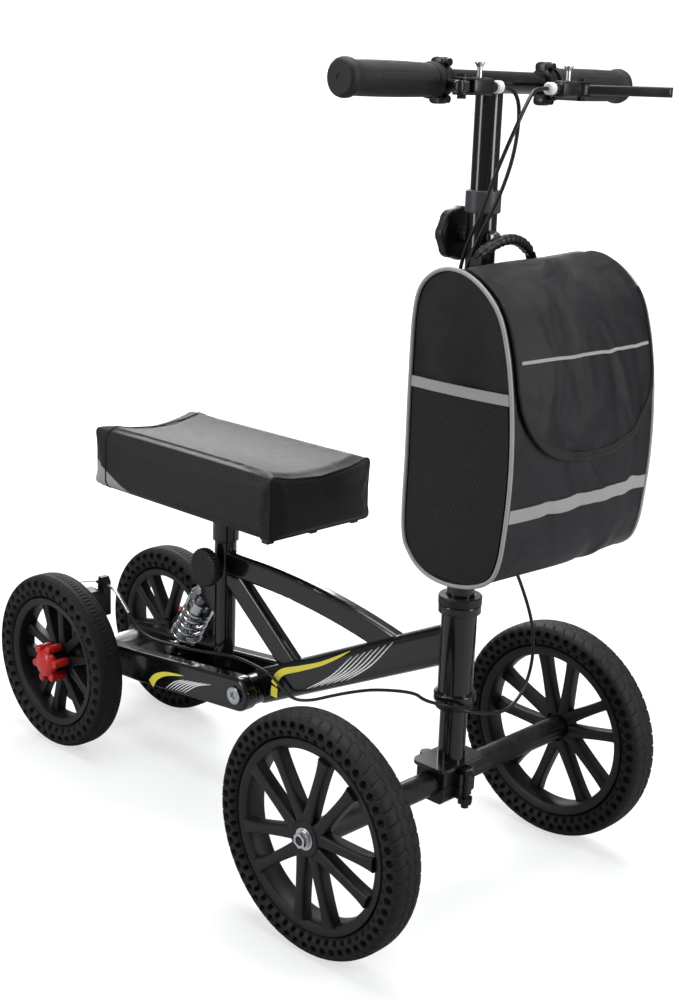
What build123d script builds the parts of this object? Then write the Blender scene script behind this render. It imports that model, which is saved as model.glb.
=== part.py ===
from build123d import *
import math
import os

# All-terrain knee scooter with four wheels, a sprung rear arm and a front bag.
# Frame: +X forward, +Y to the rider's left, +Z up. The origin is on the floor, at the middle of
# the outer box. Millimetres throughout. Each function below makes one sub-part, and each sub-part
# is written to its own file.

# ---------------------------------------------------------------- driving dimensions
# wheels
front_wheel_d = 305.0
rear_wheel_d = 271.0
tyre_width = 46.0
wheelbase = 691.0
front_track = 467.0
rear_track = 225.5
front_seat_r = 121.0          # where the front tyre sits on its rim
front_rim_bore_r = 107.0
rear_seat_r = 101.0
rear_rim_bore_r = 88.0
rim_width = 36.0
tyre_corner = 15.0
spoke_pairs = 5
spoke_width = 13.0
spoke_depth = 18.0
spoke_pair_half_angle = 13.5  # at the rim
spoke_hub_offset = 8.0        # of a spoke from its pair's middle, at the hub
front_phase = (63.0, 23.0)    # where the first pair points, right wheel then left
rear_phase = (30.0, 60.0)
front_hub_r = 23.0
rear_hub_r = 17.0
front_hub_in = 8.8            # hub faces, outboard of the tyre's middle plane
front_hub_out = 22.5
rear_hub_in = -20.0
rear_hub_out = 18.0
front_spoke_in = 3.0
rear_spoke_in = -16.0
spindle_d = 12.0
bearing_d = 28.0
bearing_w = 8.0

# steering column
steering_offset = 7.0         # steering axis ahead of the front axle
tiller_d = 31.8
column_d = 35.0
column_top = 893.0
head_tube_d = 45.0
head_tube_bore = 39.0
head_tube_bottom = 262.0
head_tube_top = 392.0
cup_d = 54.0
cup_h = 12.0
bearing_seat_d = 47.0
headset_bearing_h = 8.0
collar_d = 42.0
collar_bottom = 873.0
collar_top = 899.0
tiller_bottom = 700.0
tiller_clamp_z = 846.0

# front axle and its clamp
front_axle_d = 32.0
front_axle_wall = 3.0
axle_tube_reach = 8.0         # end of the axle tube, outboard of the tyre's middle plane
clamp_length = 62.0
clamp_width = 46.0
clamp_shell = 8.0
clamp_ear_offset = 34.0
clamp_ear_r = 12.0
clamp_split = 1.5

# handlebar
bar_offset = 5.0              # handlebar ahead of the steering axis
bar_z = 1020.0
bar_d = 25.0
bar_half = 246.0
grip_d = 38.0
grip_flare_d = 42.0
grip_inner = 103.0
grip_end = 250.0
lever_clamp_y = 93.0
lever_clamp_w = 15.0
lever_clamp_d = 35.0
perch_x = 45.0                # lever housing, ahead of the handlebar
perch_z = -5.0                # and below its axis
perch_in = 62.0
perch_out = 119.0
perch_depth = 17.0
perch_h = 18.6
lever_t = 12.0
lever_slot = 12.6
lever_pivot_y = 108.0
lever_bolt_d = 6.0
lever_length = 103.0
lever_angle = 39.0            # blade forward of the handlebar
lock_pin_y = 80.0
lock_pin_d = 6.0

# frame
pivot_x = -28.0
pivot_z = 170.0
pivot_shell_d = 44.0
pivot_shell_half = 31.0
pivot_bolt_d = 14.0
bush_d = 22.0
beam_head_z = 341.0           # height of the beam's axis at the steering axis
beam_w = 38.0
beam_h = 50.0
beam_corner = 13.0
tube_wall = 2.0
seat_x = -117.0
seat_tube_d = 32.0
seat_post_d = 28.0
seat_tube_bottom = 205.0
seat_tube_top = 368.0
arch_w = 20.0
arch_h = 36.0
arch_corner = 6.0
arch_z = 337.0
arch_bend_x = -48.0
arch_r = 1150.0
strut_w = 18.0
strut_h = 36.0
strut_top = (-106.0, 325.3)
strut_foot = (44.0, 206.0)
seat_clamp_z = 334.0

# seat
post_bottom = 177.0
post_wall = 2.0
pad_length = 385.0
pad_width = 188.5
pad_height = 89.0
pad_x = -113.7
pad_bottom = 428.5
pad_corner = 10.0
pad_valley = 11.0
pad_valley_width = 150.0
board_t = 9.0
board_inset = 5.0
tray_t = 3.5
sleeve_d = 38.0

# swing arm
arm_in = 33.0
arm_out = 57.0
arm_front_r = 25.0
arm_mid = (-258.0, 144.0)
arm_mid_r = 24.0
arm_rear_r = 22.0
rear_axle_tube_d = 30.0
rear_axle_half = 62.0
knob_prong_ring = 25.0
knob_prong_d = 13.0
knob_prongs = 6
knob_core_d = 44.0
bridge_x = -230.0
bridge_z = 143.0
bridge_d = 30.0

# shock absorber
shock_top = (-151.0, 287.0)
shock_foot = (-218.0, 175.0)
shock_eye_d = 20.0
shock_eye_w = 24.0
shock_bolt_d = 8.0
open_eye_clearance = 0.7      # the linkage is opened at the lower eye
ear_t = 4.0
ear_gap = 28.0
spring_wire_d = 7.5
spring_mean_d = 38.0
spring_turns = 3.6
spring_start = 42.5
spring_end = 98.0
shaft_d = 12.0
shock_body_d = 24.0
shock_body_end = 60.0
perch_d = 48.0
adjuster_d = 46.0

# rear brake
disc_r = 80.0
disc_t = 2.0
disc_y = -84.5
brake_pivot_from_axle = (-31.0, 52.5)
brake_arm_tip_from_axle = (-49.0, 97.5)
brake_arm_t = 6.0
brake_plane = -50.0

# hand knobs
knob_d = 65.0
knob_t = 14.0
knob_lobes = 8
seat_knob_d = 57.0
stud_d = 8.0

# bag
bag_half_width = 137.0
bag_back = 18.0               # rear face ahead of the steering axis
bag_depth = 163.5
bag_profile = [(0.0, 500.0), (0.0, 784.0), (48.0, 824.0), (123.0, 792.0), (150.0, 716.0),
               (bag_depth, 641.0), (152.0, 514.0), (136.0, 478.0), (45.0, 466.0)]
bag_edge_r = 11.0
bag_wall = 6.0
handle_half = 52.0
handle_d = 16.0
handle_x = 17.0               # grip, ahead of the bag's rear face
handle_z = 838.0

# fits
running = 0.05                # radial, shaft in its bearing
clear = 0.3                   # between pieces that only pass each other
cable_d = 4.5
wire_d = 1.6

# ---------------------------------------------------------------- worked-out places
front_r = front_wheel_d / 2
rear_r = rear_wheel_d / 2
front_axle_x = (wheelbase + rear_r - bag_depth - bag_back - steering_offset) / 2
rear_axle_x = front_axle_x - wheelbase
column_x = front_axle_x + steering_offset
bar_x = column_x + bar_offset
column_bore = tiller_d + 2 * running
axle_end = front_track / 2 + axle_tube_reach
front_hub_outer = front_track / 2 + front_hub_out
rear_hub_outer = rear_track / 2 + rear_hub_out
bag_x = column_x + bag_back
brake_pivot = (rear_axle_x + brake_pivot_from_axle[0], rear_r + brake_pivot_from_axle[1])
brake_arm_tip = (rear_axle_x + brake_arm_tip_from_axle[0], rear_r + brake_arm_tip_from_axle[1])

os.makedirs("parts", exist_ok=True)


# ---------------------------------------------------------------- helpers
def save(name, *shapes):
    """Write one sub-part; its solids stay separate."""
    solids = [s for shape in shapes for s in Compound(children=[shape]).solids()]
    piece = solids[0] if len(solids) == 1 else Compound(children=solids)
    export_step(piece, f"parts/{name}.step")


def rod(start, end, diameter, bore=0.0):
    """A round bar or tube between two points."""
    axis = Vector(*end) - Vector(*start)
    plane = Plane(origin=start, z_dir=axis)
    body = extrude(plane * Circle(diameter / 2), amount=axis.length)
    if bore > 0:
        body -= extrude(plane * Circle(bore / 2), amount=axis.length)
    return body


def rod_y(x, z, y0, y1, diameter, bore=0.0):
    """A round bar or tube along Y."""
    return rod((x, min(y0, y1), z), (x, max(y0, y1), z), diameter, bore)


def rod_z(x, y, z0, z1, diameter, bore=0.0):
    """A round bar or tube along Z."""
    return rod((x, y, z0), (x, y, z1), diameter, bore)


def block(x0, x1, y0, y1, z0, z1):
    """A box from its two corners."""
    size = Box(abs(x1 - x0), abs(y1 - y0), abs(z1 - z0))
    return Pos((x0 + x1) / 2, (y0 + y1) / 2, (z0 + z1) / 2) * size


def side_plate(outline, y0, y1):
    """A plate between two Y planes, from an XZ outline."""
    low, high = min(y0, y1), max(y0, y1)
    plane = Plane(origin=(0, high, 0), x_dir=(1, 0, 0), z_dir=(0, -1, 0))
    return extrude(plane * make_face(Polyline(*outline, close=True)), amount=high - low)


def hex_head(x, y, z, direction, across, height):
    """A hexagonal bolt head or nut, standing on a point."""
    plane = Plane(origin=(x, y, z), z_dir=direction)
    return extrude(plane * RegularPolygon(across / 2, 6, major_radius=False), amount=height)


def mirror_y(shape):
    """The same piece on the other side."""
    return mirror(shape, about=Plane.XZ)


def largest(shape):
    """The biggest solid that a cut leaves."""
    return max(shape.solids(), key=lambda solid: solid.volume)


def cable(points, diameter, label):
    """A cable: straight runs joined by arcs, each as large as its two runs allow."""
    knots = [Vector(*p) for p in points]
    runs = [b - a for a, b in zip(knots, knots[1:])]
    radii = []
    for before, after in zip(runs, runs[1:]):
        turn = math.radians(before.get_angle(after))
        shorter = min(before.length, after.length)
        radii.append(0.45 * shorter / math.tan(turn / 2))
    path = FilletPolyline(*knots, radius=radii)
    section = Plane(origin=points[0], z_dir=runs[0]) * Circle(diameter / 2)
    tube = sweep(section, path=path)
    expected = math.pi * diameter ** 2 / 4 * path.length
    print(label, "radii", [round(r) for r in radii], "length", round(path.length),
          "volume ratio", round(tube.volume / expected, 4))
    return tube


# ---------------------------------------------------------------- wheels
def tyre(x, y, z, seat_r, outer_r):
    """A solid rubber tyre: a rounded band on the rim."""
    half = tyre_width / 2
    wall = (outer_r - seat_r) / 2
    band = Pos((seat_r + outer_r) / 2, 0) * RectangleRounded(2 * wall, 2 * half, min(tyre_corner, wall - 1))
    inner_edge = Pos(seat_r + wall / 2, 0) * Rectangle(wall, 2 * half - 8)
    profile = Plane.XY * (band + inner_edge)
    ring = revolve(profile, axis=Axis.Y, revolution_arc=360)
    return Pos(x, y, z) * ring


def spoke(angle, side, hub_r, bore_r, y0, y1):
    """One straight spoke of a pair; a pair's spokes spread towards the rim."""
    spread = math.radians(spoke_pair_half_angle)
    tip = (bore_r * math.cos(spread), side * bore_r * math.sin(spread))
    root = (hub_r * 0.6, side * spoke_hub_offset)
    run = Vector(tip[0] - root[0], tip[1] - root[1])
    length = run.length + 2.5
    bar = Pos(length / 2, 0, (y0 + y1) / 2) * Box(length, spoke_width, abs(y1 - y0))
    bar = Pos(root[0], root[1], 0) * Rot(0, 0, math.degrees(math.atan2(run.Y, run.X))) * bar
    return Rot(90, 0, 0) * Rot(0, 0, angle) * bar


def rim(x, y, z, seat_r, bore_r, hub_r, hub_y, spoke_y, phase, outward):
    """A moulded rim: barrel, five pairs of spokes and a hub that holds the bearing."""
    barrel = Rot(90, 0, 0) * (Cylinder(seat_r, rim_width) - Cylinder(bore_r, rim_width))
    body = barrel + rod_y(0, 0, outward * hub_y[0], outward * hub_y[1], 2 * hub_r)
    for pair in range(spoke_pairs):
        angle = phase + pair * 360 / spoke_pairs
        for side in (-1, 1):
            y0, y1 = outward * spoke_y[0], outward * spoke_y[1]
            body += spoke(angle, side, hub_r, bore_r, -y1, -y0)
    pocket = outward * (hub_y[1] - bearing_w)
    body -= rod_y(0, 0, pocket, outward * (hub_y[1] + 1), bearing_d)
    body -= rod_y(0, 0, outward * (hub_y[0] - 1), outward * (hub_y[1] + 1), spindle_d + 4)
    if spoke_y[0] < hub_y[0]:
        body -= rod_y(0, 0, outward * (spoke_y[0] - 1), outward * hub_y[0], front_axle_d + 6)
    return Pos(x, y, z) * body


def wheel_bearing(x, y, z, outer_y, outward):
    """A sealed ball bearing, flush with the hub's outer face."""
    start = outer_y - outward * bearing_w
    ring = rod_y(x, z, start, outer_y, bearing_d, spindle_d + 2 * running)
    return chamfer(ring.edges().filter_by(GeomType.CIRCLE), 0.4)


def front_wheel(name, side):
    """Tyre, rim and bearing of one front wheel. side is -1 on the right, +1 on the left."""
    y = side * front_track / 2
    at = (front_axle_x, y, front_r)
    hub = (front_hub_in, front_hub_out)
    spokes = (front_spoke_in, front_spoke_in + spoke_depth)
    phase = front_phase[0] if side < 0 else front_phase[1]
    save(f"{name}_tyre", tyre(*at, front_seat_r, front_r))
    save(f"{name}_rim", rim(*at, front_seat_r, front_rim_bore_r, front_hub_r, hub, spokes, phase, side))
    save(f"{name}_bearing", wheel_bearing(*at, side * front_hub_outer, side))


def rear_wheel(name, side):
    """Tyre, rim and bearing of one rear wheel."""
    y = side * rear_track / 2
    at = (rear_axle_x, y, rear_r)
    hub = (rear_hub_in, rear_hub_out)
    spokes = (rear_spoke_in, rear_spoke_in + spoke_depth)
    phase = rear_phase[0] if side < 0 else rear_phase[1]
    save(f"{name}_tyre", tyre(*at, rear_seat_r, rear_r))
    save(f"{name}_rim", rim(*at, rear_seat_r, rear_rim_bore_r, rear_hub_r, hub, spokes, phase, side))
    save(f"{name}_bearing", wheel_bearing(*at, side * rear_hub_outer, side))


# ---------------------------------------------------------------- front axle and its clamp
def front_axle():
    """The cross tube, plugged at both ends, with a spindle and a nut for each wheel."""
    z = front_r
    body = rod_y(front_axle_x, z, -axle_end, axle_end, front_axle_d)
    hollow = axle_end - 20
    body -= rod_y(front_axle_x, z, -hollow, hollow, front_axle_d - 2 * front_axle_wall)
    spindle_end = front_hub_outer + clear + 7
    body += rod_y(front_axle_x, z, -spindle_end, spindle_end, spindle_d) - rod_y(
        front_axle_x, z, -hollow, hollow, spindle_d)
    return body


def front_wheel_nuts():
    """The nut and washer that keep each front wheel on its spindle."""
    pieces = []
    for side in (-1, 1):
        face = side * (front_hub_outer + clear)
        washer = rod_y(front_axle_x, front_r, face, face + side * 1.5, 22)
        nut = hex_head(front_axle_x, face + side * 1.5, front_r, (0, side, 0), 17, 6)
        bore = rod_y(front_axle_x, front_r, face - side, face + side * 9, spindle_d)
        pieces.append(washer + nut - bore)
    return pieces


def clamp_half(top):
    """One half of the clamp that holds the axle tube, with an ear in front and behind."""
    z = front_r
    sign = 1 if top else -1
    saddle_h = front_axle_d / 2 + clamp_shell
    body = block(front_axle_x - clamp_width / 2, front_axle_x + clamp_width / 2,
                 -clamp_length / 2, clamp_length / 2, z, z + sign * saddle_h)
    body = fillet(body.edges().filter_by(Axis.Y).group_by(Axis.Z)[-1 if top else 0], 8)
    for side in (-1, 1):
        ear_x = front_axle_x + side * clamp_ear_offset
        body += rod_z(ear_x, 0, min(z, z + sign * 17), max(z, z + sign * 17), 2 * clamp_ear_r)
        bridge_x0 = front_axle_x + side * (clamp_width / 2 - 2)
        body += block(bridge_x0, ear_x, -clamp_ear_r, clamp_ear_r, z, z + sign * 17)
        body -= rod_z(ear_x, 0, z - 30, z + 30, 10)
    body -= rod_y(front_axle_x, z, -clamp_length, clamp_length, front_axle_d)
    split = block(front_axle_x - 60, front_axle_x + 60, -clamp_length, clamp_length,
                  z - clamp_split / 2, z + clamp_split / 2)
    return body - split


def clamp_flange():
    """The plate under the column that the upper clamp half is welded to."""
    z = front_r + front_axle_d / 2 + clamp_shell
    plate = block(front_axle_x - 26, front_axle_x + 30, -42, 42, z, z + 5)
    plate = fillet(plate.edges().filter_by(Axis.Z), 12)
    return plate


def clamp_bolts():
    """Two bolts and nuts that close the axle clamp, and the collar's bolt on the column."""
    pieces = []
    for side in (-1, 1):
        x = front_axle_x + side * clamp_ear_offset
        low, high = front_r - 17, front_r + 17
        bolt = rod_z(x, 0, low - 14, high, 10)
        bolt += hex_head(x, 0, high, (0, 0, 1), 17, 6)
        bolt += hex_head(x, 0, low - 8, (0, 0, 1), 17, 8)
        pieces.append(bolt)
    return pieces


def collar_bolt():
    """The hexagon bolt in the front of the column, under the collar."""
    x = column_x + column_d / 2
    bolt = rod((x - 1.2, 0, tiller_clamp_z), (x + 2, 0, tiller_clamp_z), 8)
    return bolt + hex_head(x + 1, 0, tiller_clamp_z, (1, 0, 0), 13, 5)


# ---------------------------------------------------------------- column
def steering_column():
    """The outer column tube, from the axle clamp up through the head tube to the collar."""
    bottom = front_r + front_axle_d / 2 + clamp_shell
    tube = rod_z(column_x, 0, bottom, column_top, column_d, column_bore)
    plug = rod_z(column_x, 0, bottom, bottom + 20, column_bore)
    rear_boss = rod((column_x - column_d / 2 + 2, 0, tiller_clamp_z),
                    (column_x - column_d / 2 - 10, 0, tiller_clamp_z), 22)
    front_boss = rod((column_x + column_d / 2 - 2, 0, tiller_clamp_z),
                     (column_x + column_d / 2 + 1, 0, tiller_clamp_z), 18)
    bore = rod_z(column_x, 0, bottom + 20, column_top + 1, column_bore)
    stud = rod((column_x - 40, 0, tiller_clamp_z), (column_x, 0, tiller_clamp_z), stud_d + 2 * running)
    front_hole = rod((column_x + column_d / 2 - 1.2, 0, tiller_clamp_z),
                     (column_x + 40, 0, tiller_clamp_z), 8)
    flange = clamp_flange()
    body = tube + plug + rear_boss + front_boss + flange
    return body - bore - stud - front_hole


def column_collar():
    """The grey plastic guide bush on top of the column."""
    sleeve = rod_z(column_x, 0, collar_bottom, collar_top, collar_d, column_d)
    lip = rod_z(column_x, 0, column_top, collar_top, column_d + 1, column_bore)
    ring = sleeve + lip
    return fillet(ring.edges().filter_by(GeomType.CIRCLE).group_by(SortBy.RADIUS)[-1], 2)


def headset_rings():
    """The lock ring above the head tube and the crown ring below it."""
    upper = rod_z(column_x, 0, head_tube_top + clear, head_tube_top + 11, cup_d + 1, column_d)
    lower = rod_z(column_x, 0, head_tube_bottom - 9, head_tube_bottom - clear, cup_d - 6, column_d)
    upper = chamfer(upper.edges().filter_by(GeomType.CIRCLE).group_by(Axis.Z)[-1], 1)
    return upper, lower


def headset_bearings():
    """A bearing in each end of the head tube, running on the column."""
    bore = column_d + 2 * running
    upper = rod_z(column_x, 0, head_tube_top - headset_bearing_h, head_tube_top, bearing_seat_d, bore)
    lower = rod_z(column_x, 0, head_tube_bottom, head_tube_bottom + headset_bearing_h,
                  bearing_seat_d, bore)
    return upper, lower


def head_tube():
    """The head tube, with a flared cup at each end."""
    tube = rod_z(column_x, 0, head_tube_bottom, head_tube_top, head_tube_d)
    for low in (head_tube_bottom, head_tube_top - cup_h):
        cup = rod_z(column_x, 0, low, low + cup_h, cup_d)
        tube += fillet(cup.edges().filter_by(GeomType.CIRCLE), 2)
    tube -= rod_z(column_x, 0, head_tube_bottom - 1, head_tube_top + 1, head_tube_bore)
    for low in (head_tube_bottom, head_tube_top - headset_bearing_h):
        tube -= rod_z(column_x, 0, low, low + headset_bearing_h, bearing_seat_d)
    return tube


# ---------------------------------------------------------------- tiller and handlebar
def tiller_tube():
    """The inner column tube, which carries the handlebar."""
    tube = rod_z(column_x, 0, tiller_bottom, bar_z, tiller_d, tiller_d - 4)
    cap = rod_z(column_x, 0, bar_z - 8, bar_z, tiller_d)
    bar = rod_y(bar_x, bar_z, -60, 60, bar_d)
    return largest(tube + cap - bar)


def crossbar():
    """The straight handlebar tube."""
    return rod_y(bar_x, bar_z, -bar_half, bar_half, bar_d, bar_d - 4)


def grip(side):
    """A moulded grip with a flared, closed outer end."""
    outline = [(bar_d / 2, grip_inner), (grip_d / 2 + 0.5, grip_inner), (grip_d / 2 + 0.5, grip_inner + 9),
               (grip_d / 2 - 1, grip_inner + 12), (grip_d / 2, grip_inner + 60),
               (grip_d / 2 - 0.5, grip_end - 20), (grip_flare_d / 2, grip_end - 12),
               (grip_flare_d / 2, grip_end - 5), (grip_flare_d / 2 - 5, grip_end), (0, grip_end),
               (0, bar_half), (bar_d / 2, bar_half)]
    profile = Plane.XY * make_face(Polyline(*outline, close=True))
    body = Pos(bar_x, 0, bar_z) * revolve(profile, axis=Axis.Y, revolution_arc=360)
    return body if side > 0 else mirror_y(body)


def lever_bracket(side):
    """The clamp on the handlebar and the lever's housing in front of it."""
    z = bar_z + perch_z
    ring_y = (lever_clamp_y - lever_clamp_w / 2, lever_clamp_y + lever_clamp_w / 2)
    body = rod_y(bar_x, bar_z, *ring_y, lever_clamp_d)
    for lug in (-1, 1):
        body += block(bar_x - 9, bar_x + 9, *ring_y, bar_z + lug * 10, bar_z + lug * 25)
    x0, x1 = bar_x + perch_x - perch_depth / 2, bar_x + perch_x + perch_depth / 2
    arm = block(bar_x, x0 + 2, ring_y[0], ring_y[1], z - 7, z + 7)
    housing = block(x0, x1, perch_in, perch_out, z - perch_h / 2, z + perch_h / 2)
    housing = fillet(housing.edges().filter_by(Axis.Z), 5)
    body += arm + housing
    body += rod_y(bar_x + perch_x, z, perch_in - 9, perch_in + 2, 12)
    body -= rod_y(bar_x, bar_z, ring_y[0] - 1, ring_y[1] + 1, bar_d)
    body -= block(bar_x - 30, bar_x - 8, ring_y[0] - 1, ring_y[1] + 1, bar_z - 1.5, bar_z + 1.5)
    slot_in = lever_pivot_y - 11
    body -= block(x0 - 1, x1 + 1, slot_in, perch_out + 1, z - lever_slot / 2, z + lever_slot / 2)
    body -= rod_z(bar_x + perch_x, lever_pivot_y, z - 20, z + 20, lever_bolt_d)
    body -= rod_y(bar_x + perch_x, z, perch_in - 15, slot_in + 1, cable_d)
    pin_r = lock_pin_d / 2 + running
    body -= rod_z(bar_x + perch_x, lock_pin_y, z + 2, z + 20, 2 * pin_r)
    return body if side > 0 else mirror_y(body)


def handlebar_bolts(side):
    """The lever's pivot bolt and the two bolts of its clamp."""
    z = bar_z + perch_z
    x = bar_x + perch_x
    top = z + perch_h / 2
    pivot = rod_z(x, lever_pivot_y, z - perch_h / 2, top, lever_bolt_d)
    pivot += rod_z(x, lever_pivot_y, top, top + 3, 11)
    pivot += hex_head(x, lever_pivot_y, z - perch_h / 2 - 4, (0, 0, 1), 9, 4)
    bolts = [pivot]
    for lug in (-1, 1):
        lug_z = bar_z + lug * 19.5
        bolts.append(rod((bar_x + 9, lever_clamp_y, lug_z), (bar_x + 14, lever_clamp_y, lug_z), 8.5))
    return bolts if side > 0 else [mirror_y(bolt) for bolt in bolts]


def barrel_adjuster(side):
    """The translucent cap where the cable leaves the lever's housing."""
    z = bar_z + perch_z
    x = bar_x + perch_x
    cap = rod_y(x, z, perch_in - 20, perch_in - 9, 14, cable_d)
    cap = chamfer(cap.edges().filter_by(GeomType.CIRCLE).group_by(SortBy.RADIUS)[-1], 1.5)
    return cap if side > 0 else mirror_y(cap)


def brake_lever(side):
    """The lever: a pivot boss and a flat tapered blade with a rounded end."""
    angle = math.radians(90 - lever_angle)
    along = Vector(math.cos(angle), math.sin(angle))
    across = Vector(-along.Y, along.X)
    root = Vector(bar_x + perch_x, lever_pivot_y)
    z = bar_z + perch_z - lever_t / 2

    def at(u, v):
        point = root + along * u + across * v
        return (point.X, point.Y)

    blade = make_face(Polyline(at(0, 6.5), at(22, 5.5), at(lever_length, 4.0), at(lever_length, -4.0),
                               at(22, -5.5), at(0, -6.5), close=True))
    blade = Pos(0, 0, z) * extrude(blade, amount=lever_t)
    tip = Vector(*at(lever_length, 0))
    body = blade + rod_z(tip.X, tip.Y, z, z + lever_t, 13) + rod_z(root.X, root.Y, z, z + lever_t, 17)
    body -= rod_z(root.X, root.Y, z - 1, z + lever_t + 1, lever_bolt_d + 2 * running)
    return body if side > 0 else mirror_y(body)


def lock_pin(side):
    """The parking-lock button: a stem with a flared head."""
    z = bar_z + perch_z + perch_h / 2
    x = bar_x + perch_x
    stem = rod_z(x, lock_pin_y, z - 4, z + 15, lock_pin_d)
    outline = [(0, z + 11), (lock_pin_d / 2, z + 11), (5.5, z + 15), (5.5, z + 16.5), (0, z + 16.5)]
    head = Pos(x, lock_pin_y, 0) * revolve(Plane.XZ * make_face(Polyline(*outline, close=True)), axis=Axis.Z)
    body = stem + head
    return body if side > 0 else mirror_y(body)


def lobed_disc(origin, direction, diameter, thickness, lobes, scoop):
    """A hand knob: a disc with scoops round its rim."""
    plane = Plane(origin=origin, z_dir=direction)
    sketch = Circle(diameter / 2)
    for index in range(lobes):
        spot = PolarLocations(diameter / 2 + scoop * 0.75, 1, start_angle=index * 360 / lobes)
        sketch -= spot * Circle(scoop)
    return extrude(plane * sketch, amount=thickness)


def tiller_knob():
    """The knob behind the column, whose stud presses on the tiller tube."""
    start = column_x - column_d / 2 - 10 - clear
    disc = lobed_disc((start - 4, 0, tiller_clamp_z), (-1, 0, 0), knob_d, knob_t, knob_lobes, 14)
    disc = chamfer(disc.edges().group_by(Axis.X)[0], 1.5)
    neck = rod((start, 0, tiller_clamp_z), (start - 5, 0, tiller_clamp_z), 20)
    stud = rod((start, 0, tiller_clamp_z), (column_x - tiller_d / 2 - 0.2, 0, tiller_clamp_z), stud_d)
    return disc + neck + stud


def seat_knob():
    """The knob beside the seat tube, whose stud presses on the seat post."""
    start = -(seat_tube_d / 2 + 10 + clear)
    disc = lobed_disc((seat_x, start - 4, seat_clamp_z), (0, -1, 0), seat_knob_d, knob_t, 12, 5)
    disc = chamfer(disc.edges().group_by(Axis.Y)[0], 2)
    neck = rod_y(seat_x, seat_clamp_z, start - 5, start, 20)
    stud = rod_y(seat_x, seat_clamp_z, start, -(seat_post_d / 2 + 0.2), stud_d)
    return disc + neck + stud


# ---------------------------------------------------------------- frame
def beam_solid(inset=0.0):
    """The main beam's outline, or its hollow, from the pivot to the steering axis."""
    start = (pivot_x, 0, pivot_z)
    axis = Vector(column_x - pivot_x, 0, beam_head_z - pivot_z)
    plane = Plane(origin=start, x_dir=(0, 1, 0), z_dir=axis)
    section = RectangleRounded(beam_w - 2 * inset, beam_h - 2 * inset, beam_corner - inset)
    return extrude(plane * section, amount=axis.length)


def main_beam():
    """The main beam, welded to the head tube in front and to the pivot shell behind."""
    shell = rod_y(pivot_x, pivot_z, -pivot_shell_half, pivot_shell_half, pivot_shell_d)
    body = beam_solid() - beam_solid(tube_wall)
    body -= rod_z(column_x, 0, head_tube_bottom, head_tube_top, head_tube_d)
    body = largest(body) + shell
    return body - rod_y(pivot_x, pivot_z, -pivot_shell_half - 1, pivot_shell_half + 1, bush_d)


def arch_path():
    """The arch's middle line: level behind, then a long downward curve."""
    level = Line((seat_x, 0, arch_z), (arch_bend_x, 0, arch_z))
    drop = math.asin((column_x - 75 - arch_bend_x) / arch_r)
    end = (arch_bend_x + arch_r * math.sin(drop), 0, arch_z - arch_r * (1 - math.cos(drop)))
    middle = (arch_bend_x + arch_r * math.sin(drop / 2), 0, arch_z - arch_r * (1 - math.cos(drop / 2)))
    bend = ThreePointArc((arch_bend_x, 0, arch_z), middle, end)
    return Curve() + [level, bend]


def arch_solid(inset=0.0):
    """The arch's outline, or its hollow."""
    plane = Plane(origin=(seat_x, 0, arch_z), x_dir=(0, 1, 0), z_dir=(1, 0, 0))
    section = RectangleRounded(arch_w - 2 * inset, arch_h - 2 * inset, arch_corner - inset)
    return sweep(plane * section, path=arch_path())


def arch_tube():
    """The arch from the seat tube down onto the main beam."""
    body = arch_solid() - arch_solid(tube_wall)
    body -= rod_z(seat_x, 0, seat_tube_bottom, seat_tube_top, seat_tube_d)
    return largest(body - beam_solid())


def strut_solid(inset=0.0):
    """The strut's outline, or its hollow."""
    start = (strut_top[0], 0, strut_top[1])
    axis = Vector(strut_foot[0] - strut_top[0], 0, strut_foot[1] - strut_top[1])
    plane = Plane(origin=start, x_dir=(0, 1, 0), z_dir=axis)
    section = RectangleRounded(strut_w - 2 * inset, strut_h - 2 * inset, arch_corner - inset)
    return extrude(plane * section, amount=axis.length)


def seat_strut():
    """The sloping strut between the seat tube and the main beam."""
    body = strut_solid() - strut_solid(tube_wall)
    body -= rod_z(seat_x, 0, seat_tube_bottom, seat_tube_top, seat_tube_d)
    return largest(body - arch_solid() - beam_solid())


def ear_outline():
    """The shock's upper mount, from the seat tube back to its eye."""
    x, z = shock_top
    return [(seat_x - 2, z - 28), (seat_x - 2, z + 20), (x, z + 10), (x - 9, z + 4), (x - 9, z - 6), (x, z - 12)]


def seat_tube():
    """The seat tube, with the knob's boss at its side and the shock's ears behind."""
    body = rod_z(seat_x, 0, seat_tube_bottom, seat_tube_top, seat_tube_d)
    body += rod_y(seat_x, seat_clamp_z, -(seat_tube_d / 2 + 10), -seat_tube_d / 2 + 3, 22)
    for side in (-1, 1):
        inner = side * ear_gap / 2
        body += side_plate(ear_outline(), inner, inner + side * ear_t)
    body -= rod_z(seat_x, 0, seat_tube_bottom - 1, seat_tube_top + 1, seat_post_d + 2 * running)
    body -= rod_y(seat_x, seat_clamp_z, -60, 0, stud_d + 2 * running)
    return body - rod_y(*shock_top, -60, 60, shock_bolt_d)


def frame_bolts():
    """The swing arm's pivot bolt with its silver heads, and the shock's upper bolt."""
    outer = arm_out + clear
    pivot = rod_y(pivot_x, pivot_z, -outer, outer, pivot_bolt_d)
    for side in (-1, 1):
        head = rod_y(pivot_x, pivot_z, side * outer, side * (outer + 4), 26)
        head = chamfer(head.edges().filter_by(GeomType.CIRCLE), 0.8)
        socket = hex_head(pivot_x, side * (outer + 4), pivot_z, (0, -side, 0), 10, 3)
        pivot += head - socket
    x, z = shock_top
    ear_outer = ear_gap / 2 + ear_t
    bolt = rod_y(x, z, -ear_outer, ear_outer, shock_bolt_d)
    bolt += hex_head(x, -ear_outer, z, (0, -1, 0), 13, 5)
    bolt += hex_head(x, ear_outer, z, (0, 1, 0), 13, 6)
    return pivot, bolt


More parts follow.
